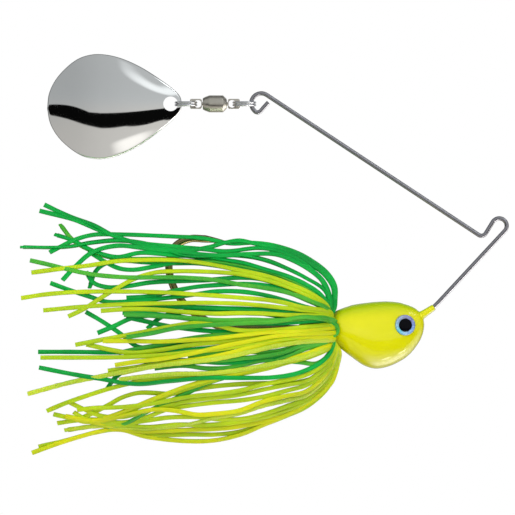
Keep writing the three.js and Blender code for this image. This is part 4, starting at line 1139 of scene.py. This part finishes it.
        (-50, -42.1), (-55, -43.6), (-60, -44.2), (-65, -44.2), (-70, -44.3), (-75, -44.3), (-80, -43),
        (-86, -43.9), (-92, -45.5), (-97.6, -46.8)]),
    ("gold", 1.0, 0, [(-34, -26.2), (-34.3, -29.6), (-35.5, -33.1), (-38.5, -36.1), (-41.5, -38.2),
        (-45, -40), (-50, -42.2), (-54.5, -44.1), (-60, -45.4), (-66, -45.6), (-75, -44.6), (-80, -43.2),
        (-84, -43.4), (-89, -44.7), (-94, -46.3), (-99, -48.1)]),
]


def envelope(x):
    """The skirt's middle height and half height at x."""
    for (x0, top0, bottom0), (x1, top1, bottom1) in zip(SKIRT_ENVELOPE, SKIRT_ENVELOPE[1:]):
        if x >= x1 or x1 == SKIRT_ENVELOPE[-1][0]:
            share = min(max((x0 - x) / (x0 - x1), 0), 1)
            top, bottom = top0 + (top1 - top0) * share, bottom0 + (bottom1 - bottom0) * share
            return (top + bottom) / 2, (top - bottom) / 2


def outward(x, z, reach, side):
    """How far to the side a strand lies where it passes (x, z)."""
    middle, half = envelope(x)
    height = min(abs(z - middle) / half, OUTLINE_SHARE)
    return side * reach * SKIRT_SIDE * min(half, SKIRT_DEEPEST) * math.sqrt(1 - height**2)


def seen_at(x, y, z):
    """The place at depth y that the camera sees in line with (x, z) of the middle plane."""
    spread = 1 + y / CAMERA_DISTANCE
    centre_x, centre_z = VIEW_CENTRE
    return Vector((centre_x + (x - centre_x) * spread, y, centre_z + (z - centre_z) * spread))


def strand_path(reach, passes, side):
    """The strand's route: under the collar, forward to the neck, folded back and along the skirt."""
    places = [seen_at(x, outward(x, z, reach, side), z) for x, z in passes]
    first = places[0]
    radial = Vector((0, first.y, first.z - SKIRT_Z)).normalized()
    under = [Vector((x, 0, SKIRT_Z)) + radial * UNDER_COLLAR_RADIUS for x in UNDER_COLLAR_XS]
    return spline([*under, *places], STRAND_SPACING)


def ribbon(points, turn_degrees, side, width, serrated, rng):
    """A flat strand with softened edges that mostly faces the side it lies on."""
    half, deep, soft = width / 2, STRAND_THICKNESS / 2, STRAND_EDGE
    corners = [(-half, -deep + soft), (-half + soft, -deep), (half - soft, -deep), (half, -deep + soft),
               (half, deep - soft), (half - soft, deep), (-half + soft, deep), (-half, deep - soft)]
    lean, pace, start = rng.uniform(*LEAN_RANGE), rng.uniform(*TURNS_RANGE), rng.uniform(0, TURN)
    travelled = 0.0
    rings = []
    along = tangents(points)
    for index, (point, tangent) in enumerate(zip(points, along)):
        if index:
            travelled += (point - points[index - 1]).length
        middle, _ = envelope(point.x)
        radial = Vector((0, point.y, point.z - middle))
        facing = (radial.normalized() * FACE_OUT + Vector((0, side, 0)) * FACE_SIDE).normalized()
        across = tangent.cross(facing).normalized()
        angle = math.radians(turn_degrees + lean * math.sin(start + pace * TURN * travelled / 2))
        across = Matrix.Rotation(angle, 3, tangent) @ across
        normal = across.cross(tangent)
        swell = 1 + SWELL * math.sin(start + travelled * SWELL_PACE)
        if serrated:
            swell += TOOTH_DEPTH * math.sin(travelled * TURN / TOOTH_LENGTH)
        rings.append([point + across * (u * swell) + normal * w for u, w in corners])
    return skin(rings)


def add_strands():
    """Near strands as listed, and on the far side the same strands, mirrored and a step shorter."""
    rng = random.Random(STRAND_SEED)
    near, far = [], []
    for index, (dye, reach, turn, passes) in enumerate(STRANDS):
        for side, group in ((-1, near), (1, far)):
            width = STRAND_WIDTH * rng.uniform(*WIDTH_RANGE)
            path = strand_path(reach, passes, side)
            if side > 0:
                path = path[:-1]
            name = f"strand_{'near' if side < 0 else 'far'}_{index + 1:02d}"
            piece = mesh_object(name, *ribbon(path, turn, side, width, dye == "glitter", rng), DYES[dye])
            group.append((piece, DYE_SLOTS.get(dye, "strand_chartreuse")))
    nodes = [f"skirt_{place}_strand_{number:02d}" for place in ("front", "rear")
             for number in range(1, STRANDS_EACH + 1)]
    for index, (piece, slot) in enumerate(near + far):
        finish_piece(piece, "frame", nodes[index:index + 1], sharp_angle=60)


add_collar()
add_strands()
